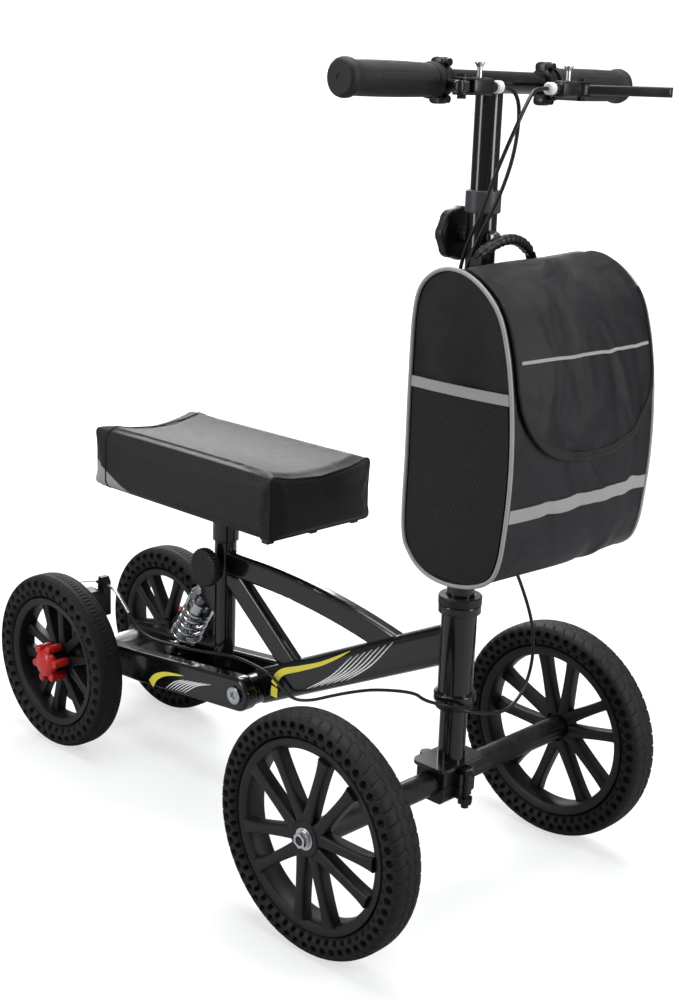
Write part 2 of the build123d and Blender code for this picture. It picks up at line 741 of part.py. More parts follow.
def pivot_bushes():
    """A flanged bush in each end of the pivot shell, running on the pivot bolt."""
    pieces = []
    for side in (-1, 1):
        bush = rod_y(pivot_x, pivot_z, side * 10, side * pivot_shell_half, bush_d,
                     pivot_bolt_d + 2 * running)
        flange = rod_y(pivot_x, pivot_z, side * pivot_shell_half, side * (arm_in - clear),
                       34, pivot_bolt_d + 2 * running)
        pieces.append(bush + flange)
    return pieces


# ---------------------------------------------------------------- seat
def seat_post():
    """The seat post, with the sleeve and the steel tray that carry the pad."""
    tray_top = pad_bottom
    tray_bottom = tray_top - tray_t
    post = rod_z(seat_x, 0, post_bottom, tray_bottom, seat_post_d, seat_post_d - 2 * post_wall)
    sleeve = rod_z(seat_x, 0, seat_tube_top + 2, tray_bottom, sleeve_d, seat_post_d)
    tray = block(pad_x - 135, pad_x + pad_length / 2 - 14, -30, 30, tray_bottom, tray_top)
    rail_x = pad_x + pad_length / 2 - 14
    rail = block(rail_x - 16, rail_x, -86, 86, tray_bottom, tray_top)
    body = post + sleeve + tray + rail
    for y in (-80, 0, 80):
        tab = block(rail_x - 13, rail_x - 1, y - 6, y + 6, tray_bottom - 5, tray_bottom)
        body += fillet(tab.edges().group_by(Axis.Z)[0], 2)
    return body


def pad_board():
    """The plywood board that the cushion is upholstered on."""
    half_l, half_w = pad_length / 2 - board_inset, pad_width / 2 - board_inset
    board = block(pad_x - half_l, pad_x + half_l, -half_w, half_w, pad_bottom, pad_bottom + board_t)
    return fillet(board.edges().filter_by(Axis.Z), pad_corner)


def knee_pad():
    """The cushion: a deep block with a shallow valley along its top, wrapped round the board."""
    top = pad_bottom + pad_height
    body = block(pad_x - pad_length / 2, pad_x + pad_length / 2, -pad_width / 2, pad_width / 2,
                 pad_bottom, top)
    body = fillet(body.edges().filter_by(Axis.Z), pad_corner)
    radius = (pad_valley_width ** 2 / 4 + pad_valley ** 2) / (2 * pad_valley)
    centre_z = top + radius - pad_valley
    valley = rod((pad_x - pad_length, 0, centre_z), (pad_x + pad_length, 0, centre_z), 2 * radius)
    half_l, half_w = pad_length / 2 - board_inset, pad_width / 2 - board_inset
    pocket = block(pad_x - half_l - clear, pad_x + half_l + clear, -half_w - clear, half_w + clear,
                   pad_bottom - 1, pad_bottom + board_t + clear)
    pocket = fillet(pocket.edges().filter_by(Axis.Z), pad_corner)
    return body - valley - pocket


# ---------------------------------------------------------------- swing arm
def capsule(start, end, r0, r1):
    """A flat link with round ends, as a sketch in X and Z."""
    ends = Pos(*start) * Circle(r0) + Pos(*end) * Circle(r1)
    return make_hull(ends.edges())


def swing_arm_side(side):
    """One side arm, from the pivot back to the rear axle."""
    pivot, axle = (pivot_x, pivot_z), (rear_axle_x, rear_r)
    outline = capsule(pivot, arm_mid, arm_front_r, arm_mid_r) + capsule(arm_mid, axle, arm_mid_r, arm_rear_r)
    plane = Plane(origin=(0, arm_out, 0), x_dir=(1, 0, 0), z_dir=(0, -1, 0))
    body = extrude(plane * outline, amount=arm_out - arm_in)
    body = fillet(body.edges().group_by(Axis.Y)[0] + body.edges().group_by(Axis.Y)[-1], 5)
    body -= rod_y(pivot_x, pivot_z, arm_in - 1, arm_out + 1, pivot_bolt_d + 2 * running)
    body -= rod_y(rear_axle_x, rear_r, arm_in - 1, arm_out + 1, rear_axle_tube_d)
    return body if side > 0 else mirror_y(body)


def swing_bridge():
    """The cross tube between the side arms, its gusset plate and the shock's lower ears."""
    body = rod_y(bridge_x, bridge_z, -arm_in, arm_in, bridge_d, bridge_d - 5)
    body += block(bridge_x + bridge_d / 2 - 4, pivot_x - 62, -arm_in, arm_in, bridge_z - 2, bridge_z + 3)
    x, z = shock_foot
    for side in (-1, 1):
        inner = side * ear_gap / 2
        outline = [(x - 26, bridge_z + 4), (x - 11, z + 5), (x - 5, z + 11), (x + 5, z + 11), (x + 11, z + 5),
                   (x + 16, bridge_z + 2)]
        body += side_plate(outline, inner, inner + side * ear_t)
    body -= rod_y(x, z, -60, 60, shock_bolt_d)
    return body - rod_y(bridge_x, bridge_z, -arm_in - 1, arm_in + 1, bridge_d - 5)


def rear_axle():
    """The rear axle tube with a spindle at each end."""
    body = rod_y(rear_axle_x, rear_r, -rear_axle_half, rear_axle_half, rear_axle_tube_d)
    end = rear_hub_outer + 12
    return body + rod_y(rear_axle_x, rear_r, -end, end, spindle_d)


def axle_knob(side):
    """The red hand nut outside a rear wheel: a domed core with six prongs pointing inwards."""
    face = rear_hub_outer + 1.5
    core = rod_y(rear_axle_x, rear_r, face + 2, face + 16, knob_core_d)
    core = fillet(core.edges().filter_by(GeomType.CIRCLE).group_by(Axis.Y)[-1], 9)
    collar = rod_y(rear_axle_x, rear_r, face, face + 3, 24)
    body = core + collar
    for index in range(knob_prongs):
        angle = math.radians(index * 360 / knob_prongs + 12)
        x = rear_axle_x + knob_prong_ring * math.cos(angle)
        z = rear_r + knob_prong_ring * math.sin(angle)
        prong = rod_y(x, z, face - 17, face + 11, knob_prong_d)
        body += fillet(prong.edges().filter_by(GeomType.CIRCLE), 4)
    body -= rod_y(rear_axle_x, rear_r, face - 1, rear_hub_outer + 12, spindle_d)
    return body if side > 0 else mirror_y(body)


# ---------------------------------------------------------------- shock absorber
def shock_frame(distance):
    """A plane across the shock's axis, at a distance from its upper eye."""
    top = Vector(shock_top[0], 0, shock_top[1])
    foot = Vector(shock_foot[0], 0, shock_foot[1])
    axis = (foot - top).normalized()
    return Plane(origin=top + axis * distance, x_dir=(0, 1, 0), z_dir=axis)


def shock_span():
    """Distance between the two eyes."""
    return math.hypot(shock_foot[0] - shock_top[0], shock_foot[1] - shock_top[1])


def shock_tube(start, end, diameter, bore=0.0):
    """A round length of the shock, along its axis."""
    body = extrude(shock_frame(start) * Circle(diameter / 2), amount=end - start)
    if bore > 0:
        body -= extrude(shock_frame(start) * Circle(bore / 2), amount=end - start)
    return body


def shock_body():
    """Upper eye, damper body and the notched adjuster ring that the spring sits on."""
    body = rod_y(*shock_top, -shock_eye_w / 2, shock_eye_w / 2, shock_eye_d)
    body += shock_tube(6, shock_body_end, shock_body_d)
    ring = shock_tube(24, spring_start - 0.3, adjuster_d)
    for index in range(6):
        angle = math.radians(60 * index)
        notch = shock_frame(23) * Pos(23 * math.cos(angle), 23 * math.sin(angle)) * Circle(4.5)
        ring -= extrude(notch, amount=9)
    body += ring
    body -= shock_tube(18, shock_body_end + 1, shaft_d + 2 * running)
    return body - rod_y(*shock_top, -40, 40, shock_bolt_d + 2 * running)


def shock_slider():
    """Damper shaft, lower spring perch and lower eye."""
    span = shock_span()
    body = shock_tube(40, span - 5, shaft_d)
    perch = shock_tube(spring_end + 0.3, spring_end + 7, perch_d)
    body += fillet(perch.edges().filter_by(GeomType.CIRCLE), 2)
    body += shock_tube(spring_end + 6, span - 6, 20)
    body += rod_y(*shock_foot, -shock_eye_w / 2, shock_eye_w / 2, shock_eye_d)
    return body - rod_y(*shock_foot, -40, 40, shock_bolt_d + 2 * open_eye_clearance)


def shock_spring():
    """The coil spring round the damper."""
    wire_r = spring_wire_d / 2
    height = spring_end - spring_start - spring_wire_d
    pitch = height / spring_turns
    coil = Helix(pitch=pitch, height=height, radius=spring_mean_d / 2)
    start = Plane(origin=coil @ 0, z_dir=coil % 0)
    wire = sweep(start * Circle(wire_r), path=coil)
    return shock_frame(spring_start + wire_r).location * wire


# ---------------------------------------------------------------- rear brake
def brake_disc():
    """The disc on the right rear wheel, with its carrier and ventilation holes."""
    wheel_face = rear_track / 2 + rear_hub_in
    disc = rod_y(rear_axle_x, rear_r, disc_y - disc_t / 2, disc_y + disc_t / 2, 2 * disc_r)
    disc += rod_y(rear_axle_x, rear_r, -wheel_face, disc_y, 2 * rear_hub_r)
    for ring, count in ((52, 12), (66, 16)):
        for index in range(count):
            angle = math.radians(index * 360 / count)
            x = rear_axle_x + ring * math.cos(angle)
            z = rear_r + ring * math.sin(angle)
            disc -= rod_y(x, z, disc_y - 3, disc_y + 3, 7)
    return disc - rod_y(rear_axle_x, rear_r, -wheel_face - 1, disc_y + 3, spindle_d + 4)


def from_axle(outline):
    """An outline whose points are measured from the rear axle."""
    return [(rear_axle_x + dx, rear_r + dz) for dx, dz in outline]


def brake_caliper():
    """The caliper over the disc, its bracket on the swing arm and the cable stop."""
    inner = disc_y + disc_t / 2 + 1.5
    outer = disc_y - disc_t / 2 - 1.5
    cheek_y = outer - 1.7
    body = side_plate(from_axle([(2, 16), (36, 16), (48, 64), (42, 100), (32, 109), (8, 109), (-2, 92)]), inner, -58)
    body += side_plate(from_axle([(2, 16), (36, 16), (48, 39), (4, 39)]), -58, -arm_out)
    bridge = side_plate(from_axle([(-2, 82), (46, 82), (42, 100), (32, 109), (8, 109)]), cheek_y, inner)
    body += bridge - rod_y(rear_axle_x, rear_r, cheek_y - 1, inner, 2 * (disc_r + 2))
    body += side_plate(from_axle([(2, 62), (40, 62), (42, 84), (2, 84)]), cheek_y, outer)
    body += side_plate(from_axle([(26, 69), (39, 69), (39, 122), (34, 130), (26, 130), (24, 114)]), -58, -44)
    body += side_plate(from_axle([(-42, 40), (4, 40), (4, 64), (-42, 64)]), -58, brake_plane - 4 - clear)
    body -= rod_y(*brake_pivot, -60, brake_plane, 8)
    stop_z = rear_r + 116.5
    return body - rod((rear_axle_x + 20, brake_plane, stop_z), (rear_axle_x + 50, brake_plane, stop_z), cable_d + 1.6)


def brake_arm():
    """The lever that the cable pulls to close the caliper."""
    outline = capsule(brake_pivot, brake_arm_tip, 10, 7)
    outer = brake_plane + brake_arm_t / 2 - 1
    plane = Plane(origin=(0, outer, 0), x_dir=(1, 0, 0), z_dir=(0, -1, 0))
    body = extrude(plane * outline, amount=brake_arm_t)
    body -= rod_y(*brake_pivot, -60, -40, 8 + 2 * running)
    body -= rod_y(*brake_arm_tip, -60, -40, 4)
    return body - rod((brake_arm_tip[0], brake_plane, brake_arm_tip[1]), wire_start(), wire_d + 1)


def wire_start():
    """Where the bare wire leaves the noodle."""
    return (rear_axle_x + 10, brake_plane, rear_r + 116.5)


def brake_wire():
    """The bare wire from the noodle to the arm."""
    return rod(wire_start(), (brake_arm_tip[0] + 1, brake_plane, brake_arm_tip[1]), wire_d)


def swing_hardware():
    """Silver pieces on the swing arm: the shock's lower bolt and the brake arm's pivot pin."""
    x, z = shock_foot
    ear_outer = ear_gap / 2 + ear_t
    bolt = rod_y(x, z, -ear_outer, ear_outer, shock_bolt_d)
    bolt += hex_head(x, -ear_outer, z, (0, -1, 0), 14, 6)
    bolt += hex_head(x, ear_outer, z, (0, 1, 0), 14, 6)
    head = brake_plane + brake_arm_t / 2 - 1 + clear
    pin = rod_y(*brake_pivot, -58, head + 4, 8) + rod_y(*brake_pivot, head, head + 4, 13)
    return bolt, pin


def noodle():
    """The bent steel pipe that turns the cable over the cable stop."""
    points = [(-280, -50, 222), (-304, -50, 243), (-318, -50, 252), (-344, -50, 252)]
    return cable(points, cable_d + 0.8, "noodle")


# ---------------------------------------------------------------- bag
def bag_solid(inset=0.0):
    """The bag's outline carried across its width, or the space inside it."""
    outline = [(bag_x + dx, z) for dx, z in bag_profile]
    plane = Plane(origin=(0, bag_half_width - inset, 0), x_dir=(1, 0, 0), z_dir=(0, -1, 0))
    side = make_face(Polyline(*outline, close=True))
    if inset > 0:
        side = offset(side, amount=-inset)
    return extrude(plane * side, amount=2 * (bag_half_width - inset))


def bag_body():
    """The empty bag: a soft-cornered shell, closed by its zip."""
    return fillet(bag_solid().edges(), bag_edge_r) - bag_solid(bag_wall)


def bag_handle():
    """The moulded carry grip, with a webbing tab down to the bag at each end."""
    grip_x = bag_x + handle_x
    bar = rod_y(grip_x, handle_z, -handle_half, handle_half, handle_d)
    bar = fillet(bar.edges().filter_by(GeomType.CIRCLE), 3)
    for side in (-1, 1):
        y = side * (handle_half - 6)
        bar += block(grip_x - 8, grip_x + 8, y - 3, y + 3, handle_z - 50, handle_z)
    return bar - fillet(bag_solid().edges(), bag_edge_r)


# ---------------------------------------------------------------- cables
right_cable = [(376, -42, 1015), (376, -22, 1015), (376, -8, 1000), (375, -5, 974), (373, -8, 941),
               (366, -13, 908), (357, -20, 878), (345, -28, 847), (336, -34, 816), (325, -35, 784),
               (321, -25, 763), (321, -25, 740)]
left_cable = [(376, 42, 1015), (376, 20, 1015), (384, -1, 1003), (387, -20, 980), (382, -34, 948),
              (372, -43, 910), (361, -47, 872), (345, -49, 840), (333, -46, 802), (321, -34, 767),
              (321, -34, 740)]
steer_cable = [(321, -29, 700), (321, -29, 664), (312, -22, 620), (302, 4, 570), (309, 28, 525),
               (324, 58, 480), (335, 88, 432), (340, 112, 385), (342, 134, 335), (344, 137, 288),
               (348, 118, 252), (355, 82, 237), (364, 40, 243), (366, 4, 254), (359, -24, 264),
               (338, -37, 268), (304, -33, 262), (270, -13.1, 256.8), (240, -12, 249)]
beam_cable = [(240, -12, 249), (206, -10.75, 240.16), (166, -11, 225), (122, -12, 205), (82, -15, 185),
              (56, -24, 181), (34, -27, 194), (12, -27, 207), (-16, -27, 209)]
arm_cable = [(-16, -27, 209), (-58, -27, 212), (-102, -32, 205), (-146, -38, 199), (-190, -43, 196),
             (-230, -48, 194), (-258, -50, 202.75), (-280, -50, 222)]


def lever_cables():
    """The two lever cables and the joiner behind the bag where they become one."""
    joiner = block(315, 327, -39, -20, 700, 740)
    joiner = fillet(joiner.edges().filter_by(Axis.Z), 4)
    right = cable(right_cable, cable_d, "right lever cable")
    left = cable(left_cable, cable_d, "left lever cable")
    return right, left, joiner


# ---------------------------------------------------------------- write every sub-part
def write_frame():
    """Pieces that make up the frame."""
    save("head_tube", head_tube())
    save("headset_bearings", *headset_bearings())
    save("main_beam", main_beam())
    save("arch_tube", arch_tube())
    save("seat_strut", seat_strut())
    save("seat_tube", seat_tube())
    save("frame_bolts", *frame_bolts())
    save("pivot_bushes", *pivot_bushes())
    save("beam_cable", cable(beam_cable, cable_d, "beam cable"))


def write_steering():
    """Pieces that turn with the column."""
    save("steering_column", steering_column())
    save("column_collar", column_collar())
    save("headset_rings", *headset_rings())
    save("front_axle", front_axle())
    save("axle_clamp_upper", clamp_half(True))
    save("axle_clamp_lower", clamp_half(False))
    save("column_bolts", *clamp_bolts(), collar_bolt(), *front_wheel_nuts())
    save("bag_body", bag_body())
    save("bag_handle", bag_handle())
    save("tiller_knob", tiller_knob())
    save("steer_cable", cable(steer_cable, cable_d, "steering cable"))
    save("lever_cables", *lever_cables())


def write_handlebar():
    """Pieces that slide with the tiller tube."""
    save("tiller_tube", tiller_tube())
    save("crossbar", crossbar())
    sides = (("right", -1), ("left", 1))
    for name, side in sides:
        save(f"brake_lever_{name}", brake_lever(side))
        save(f"lock_pin_{name}", lock_pin(side))
    save("handlebar_grips", grip(-1), grip(1))
    save("lever_brackets", lever_bracket(-1), lever_bracket(1))
    save("handlebar_bolts", *handlebar_bolts(-1), *handlebar_bolts(1))
    save("barrel_adjusters", barrel_adjuster(-1), barrel_adjuster(1))


def write_seat():
    """Pieces that slide with the seat post."""
    save("seat_post", seat_post())
    save("pad_board", pad_board())
    save("knee_pad", knee_pad())
    save("seat_knob", seat_knob())


def write_rear():
    """Swing arm, shock absorber and rear brake."""
    save("swing_arm_right", swing_arm_side(-1))
    save("swing_arm_left", swing_arm_side(1))
    save("swing_bridge", swing_bridge())
    save("rear_axle", rear_axle())
    save("rear_axle_knobs", axle_knob(-1), axle_knob(1))
    save("swing_hardware", *swing_hardware(), noodle())
    save("shock_body", shock_body())
    save("shock_slider", shock_slider())
    save("shock_spring", shock_spring())
    save("brake_disc", brake_disc())
    save("brake_caliper", brake_caliper())
    save("brake_arm", brake_arm())
    save("arm_cable", cable(arm_cable, cable_d, "swing arm cable"), brake_wire())


write_frame()
write_steering()
write_handlebar()
write_seat()
write_rear()
for wheel_name, wheel_side in (("right", -1), ("left", 1)):
    front_wheel(f"front_{wheel_name}", wheel_side)
    rear_wheel(f"rear_{wheel_name}", wheel_side)
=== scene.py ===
# %% [markdown]
# # A four-wheeled knee scooter
# This notebook finishes a knee scooter round a frame that is already modelled: it loads that frame,
# gives each bare part a material, and replaces the soft and the finely detailed parts by surfaces
# worked out with numpy. Everything is in metres: +X forward, +Y to the rider's left, +Z up.

# %% Load the frame
import math

import bmesh
import bpy
import numpy as np
from mathutils import Matrix, Vector
from mathutils.bvhtree import BVHTree


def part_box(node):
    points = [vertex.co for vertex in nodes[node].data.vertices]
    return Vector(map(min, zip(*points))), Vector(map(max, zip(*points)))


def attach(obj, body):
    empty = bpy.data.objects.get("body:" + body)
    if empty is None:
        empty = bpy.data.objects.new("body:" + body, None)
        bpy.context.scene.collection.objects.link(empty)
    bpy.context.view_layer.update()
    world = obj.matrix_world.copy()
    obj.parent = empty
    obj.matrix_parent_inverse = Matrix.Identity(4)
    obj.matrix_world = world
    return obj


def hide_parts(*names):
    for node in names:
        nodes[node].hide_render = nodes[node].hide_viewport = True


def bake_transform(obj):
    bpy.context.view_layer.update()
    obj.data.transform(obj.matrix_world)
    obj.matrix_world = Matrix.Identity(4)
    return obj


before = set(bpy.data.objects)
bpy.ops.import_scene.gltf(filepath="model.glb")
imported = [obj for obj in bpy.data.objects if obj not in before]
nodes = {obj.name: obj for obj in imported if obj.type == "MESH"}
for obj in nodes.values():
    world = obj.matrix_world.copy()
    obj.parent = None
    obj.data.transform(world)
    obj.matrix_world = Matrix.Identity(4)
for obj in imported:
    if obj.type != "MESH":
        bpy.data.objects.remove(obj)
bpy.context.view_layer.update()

# %% [markdown]
# ## The camera
# A long lens from the front right, a little above the seat, keeps all four wheels apart in the
# picture. Its place and turn are set as a matrix: right, up and back are its three axes.

# %% Camera
AZIMUTH, ELEVATION, ROLL = math.radians(44.29), math.radians(15.49), math.radians(1.98)
CAMERA_PLACE = (1.47894, -1.40819, 1.02182)
LENS_MM = 55.17


def camera_axes(azimuth, elevation, roll):
    """Right, up and back axes: back points from the object to the camera, then a roll about it."""
    back = np.array([math.sin(azimuth) * math.cos(elevation),
                     -math.cos(azimuth) * math.cos(elevation), math.sin(elevation)])
    right = np.cross((0, 0, 1), back)
    right /= np.linalg.norm(right)
    up = np.cross(back, right)
    c, s = math.cos(roll), math.sin(roll)
    return c * right + s * up, c * up - s * right, back


camera = bpy.data.objects.new("camera", bpy.data.cameras.new("camera"))
bpy.context.collection.objects.link(camera)
camera.data.lens = LENS_MM
camera.data.clip_end = 60
axes = Matrix([list(axis) for axis in camera_axes(AZIMUTH, ELEVATION, ROLL)]).transposed()
camera.matrix_world = Matrix.Translation(CAMERA_PLACE) @ axes.to_4x4()
bpy.context.scene.camera = camera

# %% [markdown]
# ## Studio light
# Large soft lamps round the scooter draw long highlights along its painted tubes, which is what
# makes black paint readable. The world is white to the camera and dim to everything else, and the
# floor is the last piece of all.


# %% Lamps and world
def place_lamp(name, place, target, size, power, height=None):
    """A rectangular lamp that faces a target point."""
    data = bpy.data.lights.new(name, "AREA")
    data.shape = "RECTANGLE"
    data.size, data.size_y, data.energy = size, height or size, power
    lamp = bpy.data.objects.new(name, data)
    bpy.context.collection.objects.link(lamp)
    lamp.location = place
    lamp.rotation_euler = (Vector(target) - Vector(place)).to_track_quat("-Z", "Y").to_euler()
    return lamp


place_lamp("lamp_over", (0.0, 0.2, 2.8), (0, 0, 0.3), 2.0, 72)
place_lamp("lamp_right", (-0.9, -2.6, 1.5), (0, 0, 0.4), 0.7, 44, 2.2)
place_lamp("lamp_front", (2.7, 0.7, 1.5), (0, 0, 0.5), 0.7, 50, 2.2)
place_lamp("lamp_back", (-2.4, 1.9, 2.0), (0, 0, 0.4), 1.5, 60)

world = bpy.data.worlds.new("studio")
bpy.context.scene.world = world
world.use_nodes = True
world_tree = world.node_tree
camera_ray = world_tree.nodes.new("ShaderNodeLightPath").outputs["Is Camera Ray"]
sky = world_tree.nodes.new("ShaderNodeMapRange")
sky.inputs["To Min"].default_value, sky.inputs["To Max"].default_value = 0.26, 1.0
world_tree.links.new(camera_ray, sky.inputs["Value"])
world_tree.links.new(sky.outputs[0], world_tree.nodes["Background"].inputs["Strength"])
world_tree.nodes["Background"].inputs["Color"].default_value = (1, 1, 1, 1)
bpy.context.scene.view_settings.view_transform = "Standard"

# %% [markdown]
# ## Shader groups that several finishes share
# Real finishes are never one flat colour. One group varies a colour and its roughness and lays a
# little dust on faces that look up; another makes fine grain; a third crosses two sets of waves,
# for cloth. Each is built once, and each material places it with its own numbers.


# %% Group helper
def shader_group(name, inputs, outputs):
    """An empty group with named sockets; inputs are (kind, label, default)."""
    tree = bpy.data.node_groups.new(name, "ShaderNodeTree")
    for kind, label, default in inputs:
        socket = tree.interface.new_socket(label, in_out="INPUT", socket_type="NodeSocket" + kind)
        if default is not None:
            socket.default_value = default
    for kind, label in outputs:
        tree.interface.new_socket(label, in_out="OUTPUT", socket_type="NodeSocket" + kind)
    return tree, tree.nodes.new("NodeGroupInput"), tree.nodes.new("NodeGroupOutput")


def node(tree, kind, links=(), **settings):
    """A shader node, its settings, and links given as (socket, source)."""
    made = tree.nodes.new("ShaderNode" + kind)
    for key, value in settings.items():
        setattr(made, key, value)
    for socket, source in links:
        if isinstance(source, bpy.types.NodeSocket):
            tree.links.new(source, made.inputs[socket])
        else:
            made.inputs[socket].default_value = source
    return made


def math_node(tree, operation, *values):
    """A Math node; returns its output."""
    return node(tree, "Math", list(enumerate(values)), operation=operation).outputs[0]


# %% Varied surface
def build_varied_surface():
    """Colour times a slow noise, roughness plus a finer noise, and dust where the normal looks up."""
    tree, gi, go = shader_group("varied_surface", [
        ("Color", "Base", (0.5, 0.5, 0.5, 1)), ("Vector", "Place", None), ("Float", "Vary", 0.2),
        ("Float", "Rough", 0.5), ("Float", "Rough vary", 0.1), ("Float", "Dust", 0.1)],
        [("Color", "Color"), ("Float", "Rough")])
    slow = node(tree, "TexNoise", [("Vector", gi.outputs["Place"]), ("Scale", 9.0), ("Detail", 4.0)])
    fine = node(tree, "TexNoise", [("Vector", gi.outputs["Place"]), ("Scale", 90.0), ("Detail", 5.0)])
    swing = math_node(tree, "MULTIPLY_ADD", slow.outputs["Fac"], 2.0, -1.0)
    gain = math_node(tree, "MULTIPLY_ADD", swing, gi.outputs["Vary"], 1.0)
    tinted = node(tree, "VectorMath", [(0, gi.outputs["Base"])], operation="SCALE")
    tree.links.new(gain, tinted.inputs["Scale"])
    facing = node(tree, "NewGeometry")
    split = node(tree, "SeparateXYZ", [(0, facing.outputs["Normal"])])
    upward = node(tree, "MapRange", [("Value", split.outputs["Z"]), ("From Min", 0.2), ("From Max", 1.0)])
    speck = node(tree, "MapRange", [("Value", fine.outputs["Fac"]), ("From Min", 0.4), ("From Max", 0.75)])
    dust = math_node(tree, "MULTIPLY", upward.outputs[0], speck.outputs[0])
    dust = math_node(tree, "MULTIPLY", dust, gi.outputs["Dust"])
    mixed = node(tree, "Mix", [("Factor", dust), (6, tinted.outputs[0]), (7, (0.35, 0.34, 0.33, 1))],
                 data_type="RGBA")
    rough = math_node(tree, "MULTIPLY_ADD", fine.outputs["Fac"], gi.outputs["Rough vary"],
                      gi.outputs["Rough"])
    rough = math_node(tree, "MULTIPLY_ADD", dust, 0.8, rough)
    tree.links.new(mixed.outputs[2], go.inputs["Color"])
    tree.links.new(rough, go.inputs["Rough"])
    return tree


varied_surface = build_varied_surface()


# %% Fine grain
def build_fine_grain():
    """Height of a moulded or leathery surface: small cells plus noise."""
    tree, gi, go = shader_group("fine_grain", [
        ("Vector", "Place", None), ("Float", "Scale", 900.0), ("Float", "Cells", 0.5)], [("Float", "Height")])
    cells = node(tree, "TexVoronoi", [("Vector", gi.outputs["Place"]), ("Scale", gi.outputs["Scale"])],
                 feature="SMOOTH_F1")
    noise = node(tree, "TexNoise", [("Vector", gi.outputs["Place"]), ("Scale", gi.outputs["Scale"])])
    cell_part = math_node(tree, "MULTIPLY", cells.outputs["Distance"], gi.outputs["Cells"])
    tree.links.new(math_node(tree, "ADD", cell_part, noise.outputs["Fac"]), go.inputs["Height"])
    return tree


fine_grain = build_fine_grain()


# %% Crossed threads
def build_crossed_threads():
    """Height of a plain weave: the larger of two sine waves at right angles, each broken by the other."""
    tree, gi, go = shader_group("crossed_threads", [
        ("Vector", "Place", None), ("Float", "Pitch", 0.001)], [("Float", "Height"), ("Float", "Gap")])
    split = node(tree, "SeparateXYZ", [(0, gi.outputs["Place"])])
    turn = math_node(tree, "DIVIDE", math.tau, gi.outputs["Pitch"])
    waves = []
    for axis in ("X", "Y"):
        waves.append(math_node(tree, "SINE", math_node(tree, "MULTIPLY", split.outputs[axis], turn)))
    product = math_node(tree, "MULTIPLY", waves[0], waves[1])
    spread = math_node(tree, "MAXIMUM", math_node(tree, "ABSOLUTE", waves[0]),
                       math_node(tree, "ABSOLUTE", waves[1]))
    height = math_node(tree, "MULTIPLY_ADD", product, 0.5, spread)
    gap = node(tree, "MapRange", [("Value", product), ("From Min", 0.1), ("From Max", 0.5)])
    tree.links.new(height, go.inputs["Height"])
    tree.links.new(gap.outputs[0], go.inputs["Gap"])
    return tree


crossed_threads = build_crossed_threads()

# %% [markdown]
# ## Finishes
# One helper builds each finish: the varied surface drives colour and roughness, and a bump reads
# the grain. Painted tubes also get a Bevel node, which rounds the look of their exact CAD edges, so
# that a thin highlight runs along each one as it does on real paint.


# %% Finish helper
def place_group(tree, group, **values):
    """A group node with plain values or links on its inputs; underscores stand for spaces."""
    made = tree.nodes.new("ShaderNodeGroup")
    made.node_tree = group
    for label, value in values.items():
        socket = made.inputs[label.replace("_", " ")]
        if isinstance(value, bpy.types.NodeSocket):
            tree.links.new(value, socket)
        else:
            socket.default_value = value
    return made


def finish(name, colour, rough, metallic=0.0, vary=0.25, rough_vary=0.12, dust=0.04, grain=(900.0, 0.5),
           depth=0.00012, bump=0.35, coat=0.0, round_edges=0.0, specular=0.3):
    """A material; returns it with its tree, its shader, the place vector and the bump node."""
    material = bpy.data.materials.new(name)
    material.use_nodes = True
    tree = material.node_tree
    shader = tree.nodes["Principled BSDF"]
    place = tree.nodes.new("ShaderNodeTexCoord").outputs["Object"]
    varied = place_group(tree, varied_surface, Base=(*colour, 1), Place=place, Vary=vary, Rough=rough,
                         Rough_vary=rough_vary, Dust=dust)
    tree.links.new(varied.outputs["Color"], shader.inputs["Base Color"])
    tree.links.new(varied.outputs["Rough"], shader.inputs["Roughness"])
    grain_node = place_group(tree, fine_grain, Place=place, Scale=grain[0], Cells=grain[1])
    bumped = node(tree, "Bump", [("Height", grain_node.outputs["Height"]), ("Strength", bump),
                                 ("Distance", depth)])
    tree.links.new(bumped.outputs["Normal"], shader.inputs["Normal"])
    if round_edges > 0:
        edge = node(tree, "Bevel", [("Radius", round_edges)], samples=4)
        tree.links.new(edge.outputs["Normal"], bumped.inputs["Normal"])
    shader.inputs["Metallic"].default_value = metallic
    shader.inputs["Specular IOR Level"].default_value = 0.5 if metallic else specular
    shader.inputs["Coat Weight"].default_value = coat
    shader.inputs["Coat Roughness"].default_value = 0.06
    return material, tree, shader, place, bumped, varied


# %% Plain finishes
gloss_paint = finish("gloss_paint", (0.004, 0.0042, 0.005), 0.18, rough_vary=0.06, grain=(260.0, 0.0),
                     depth=0.00005, bump=0.15, coat=0.45, round_edges=0.0016, dust=0.02)[0]
satin_paint = finish("satin_paint", (0.006, 0.006, 0.0065), 0.32, coat=0.15, round_edges=0.0012)[0]
zinc = finish("zinc", (0.60, 0.61, 0.63), 0.26, metallic=1.0, vary=0.12, grain=(1500.0, 0.2),
              round_edges=0.0006)[0]
chrome = finish("chrome", (0.52, 0.53, 0.55), 0.12, metallic=1.0, vary=0.06, rough_vary=0.1,
                round_edges=0.0005)[0]
ground_steel = finish("ground_steel", (0.42, 0.43, 0.44), 0.30, metallic=1.0, grain=(2200.0, 0.1))[0]
solid_rubber = finish("solid_rubber", (0.0055, 0.0055, 0.006), 0.60, grain=(1400.0, 0.8), bump=0.5,
                      dust=0.05)[0]
moulded_rim = finish("moulded_rim", (0.006, 0.006, 0.0065), 0.38, grain=(1600.0, 0.6), bump=0.45,
                     dust=0.03)[0]
black_plastic = finish("black_plastic", (0.008, 0.008, 0.0085), 0.36, grain=(1300.0, 0.7), bump=0.3)[0]
grey_plastic = finish("grey_plastic", (0.048, 0.050, 0.055), 0.34, grain=(1200.0, 0.4), bump=0.2)[0]
milky_plastic = finish("milky_plastic", (0.72, 0.72, 0.70), 0.28, grain=(700.0, 0.1), bump=0.1)[0]
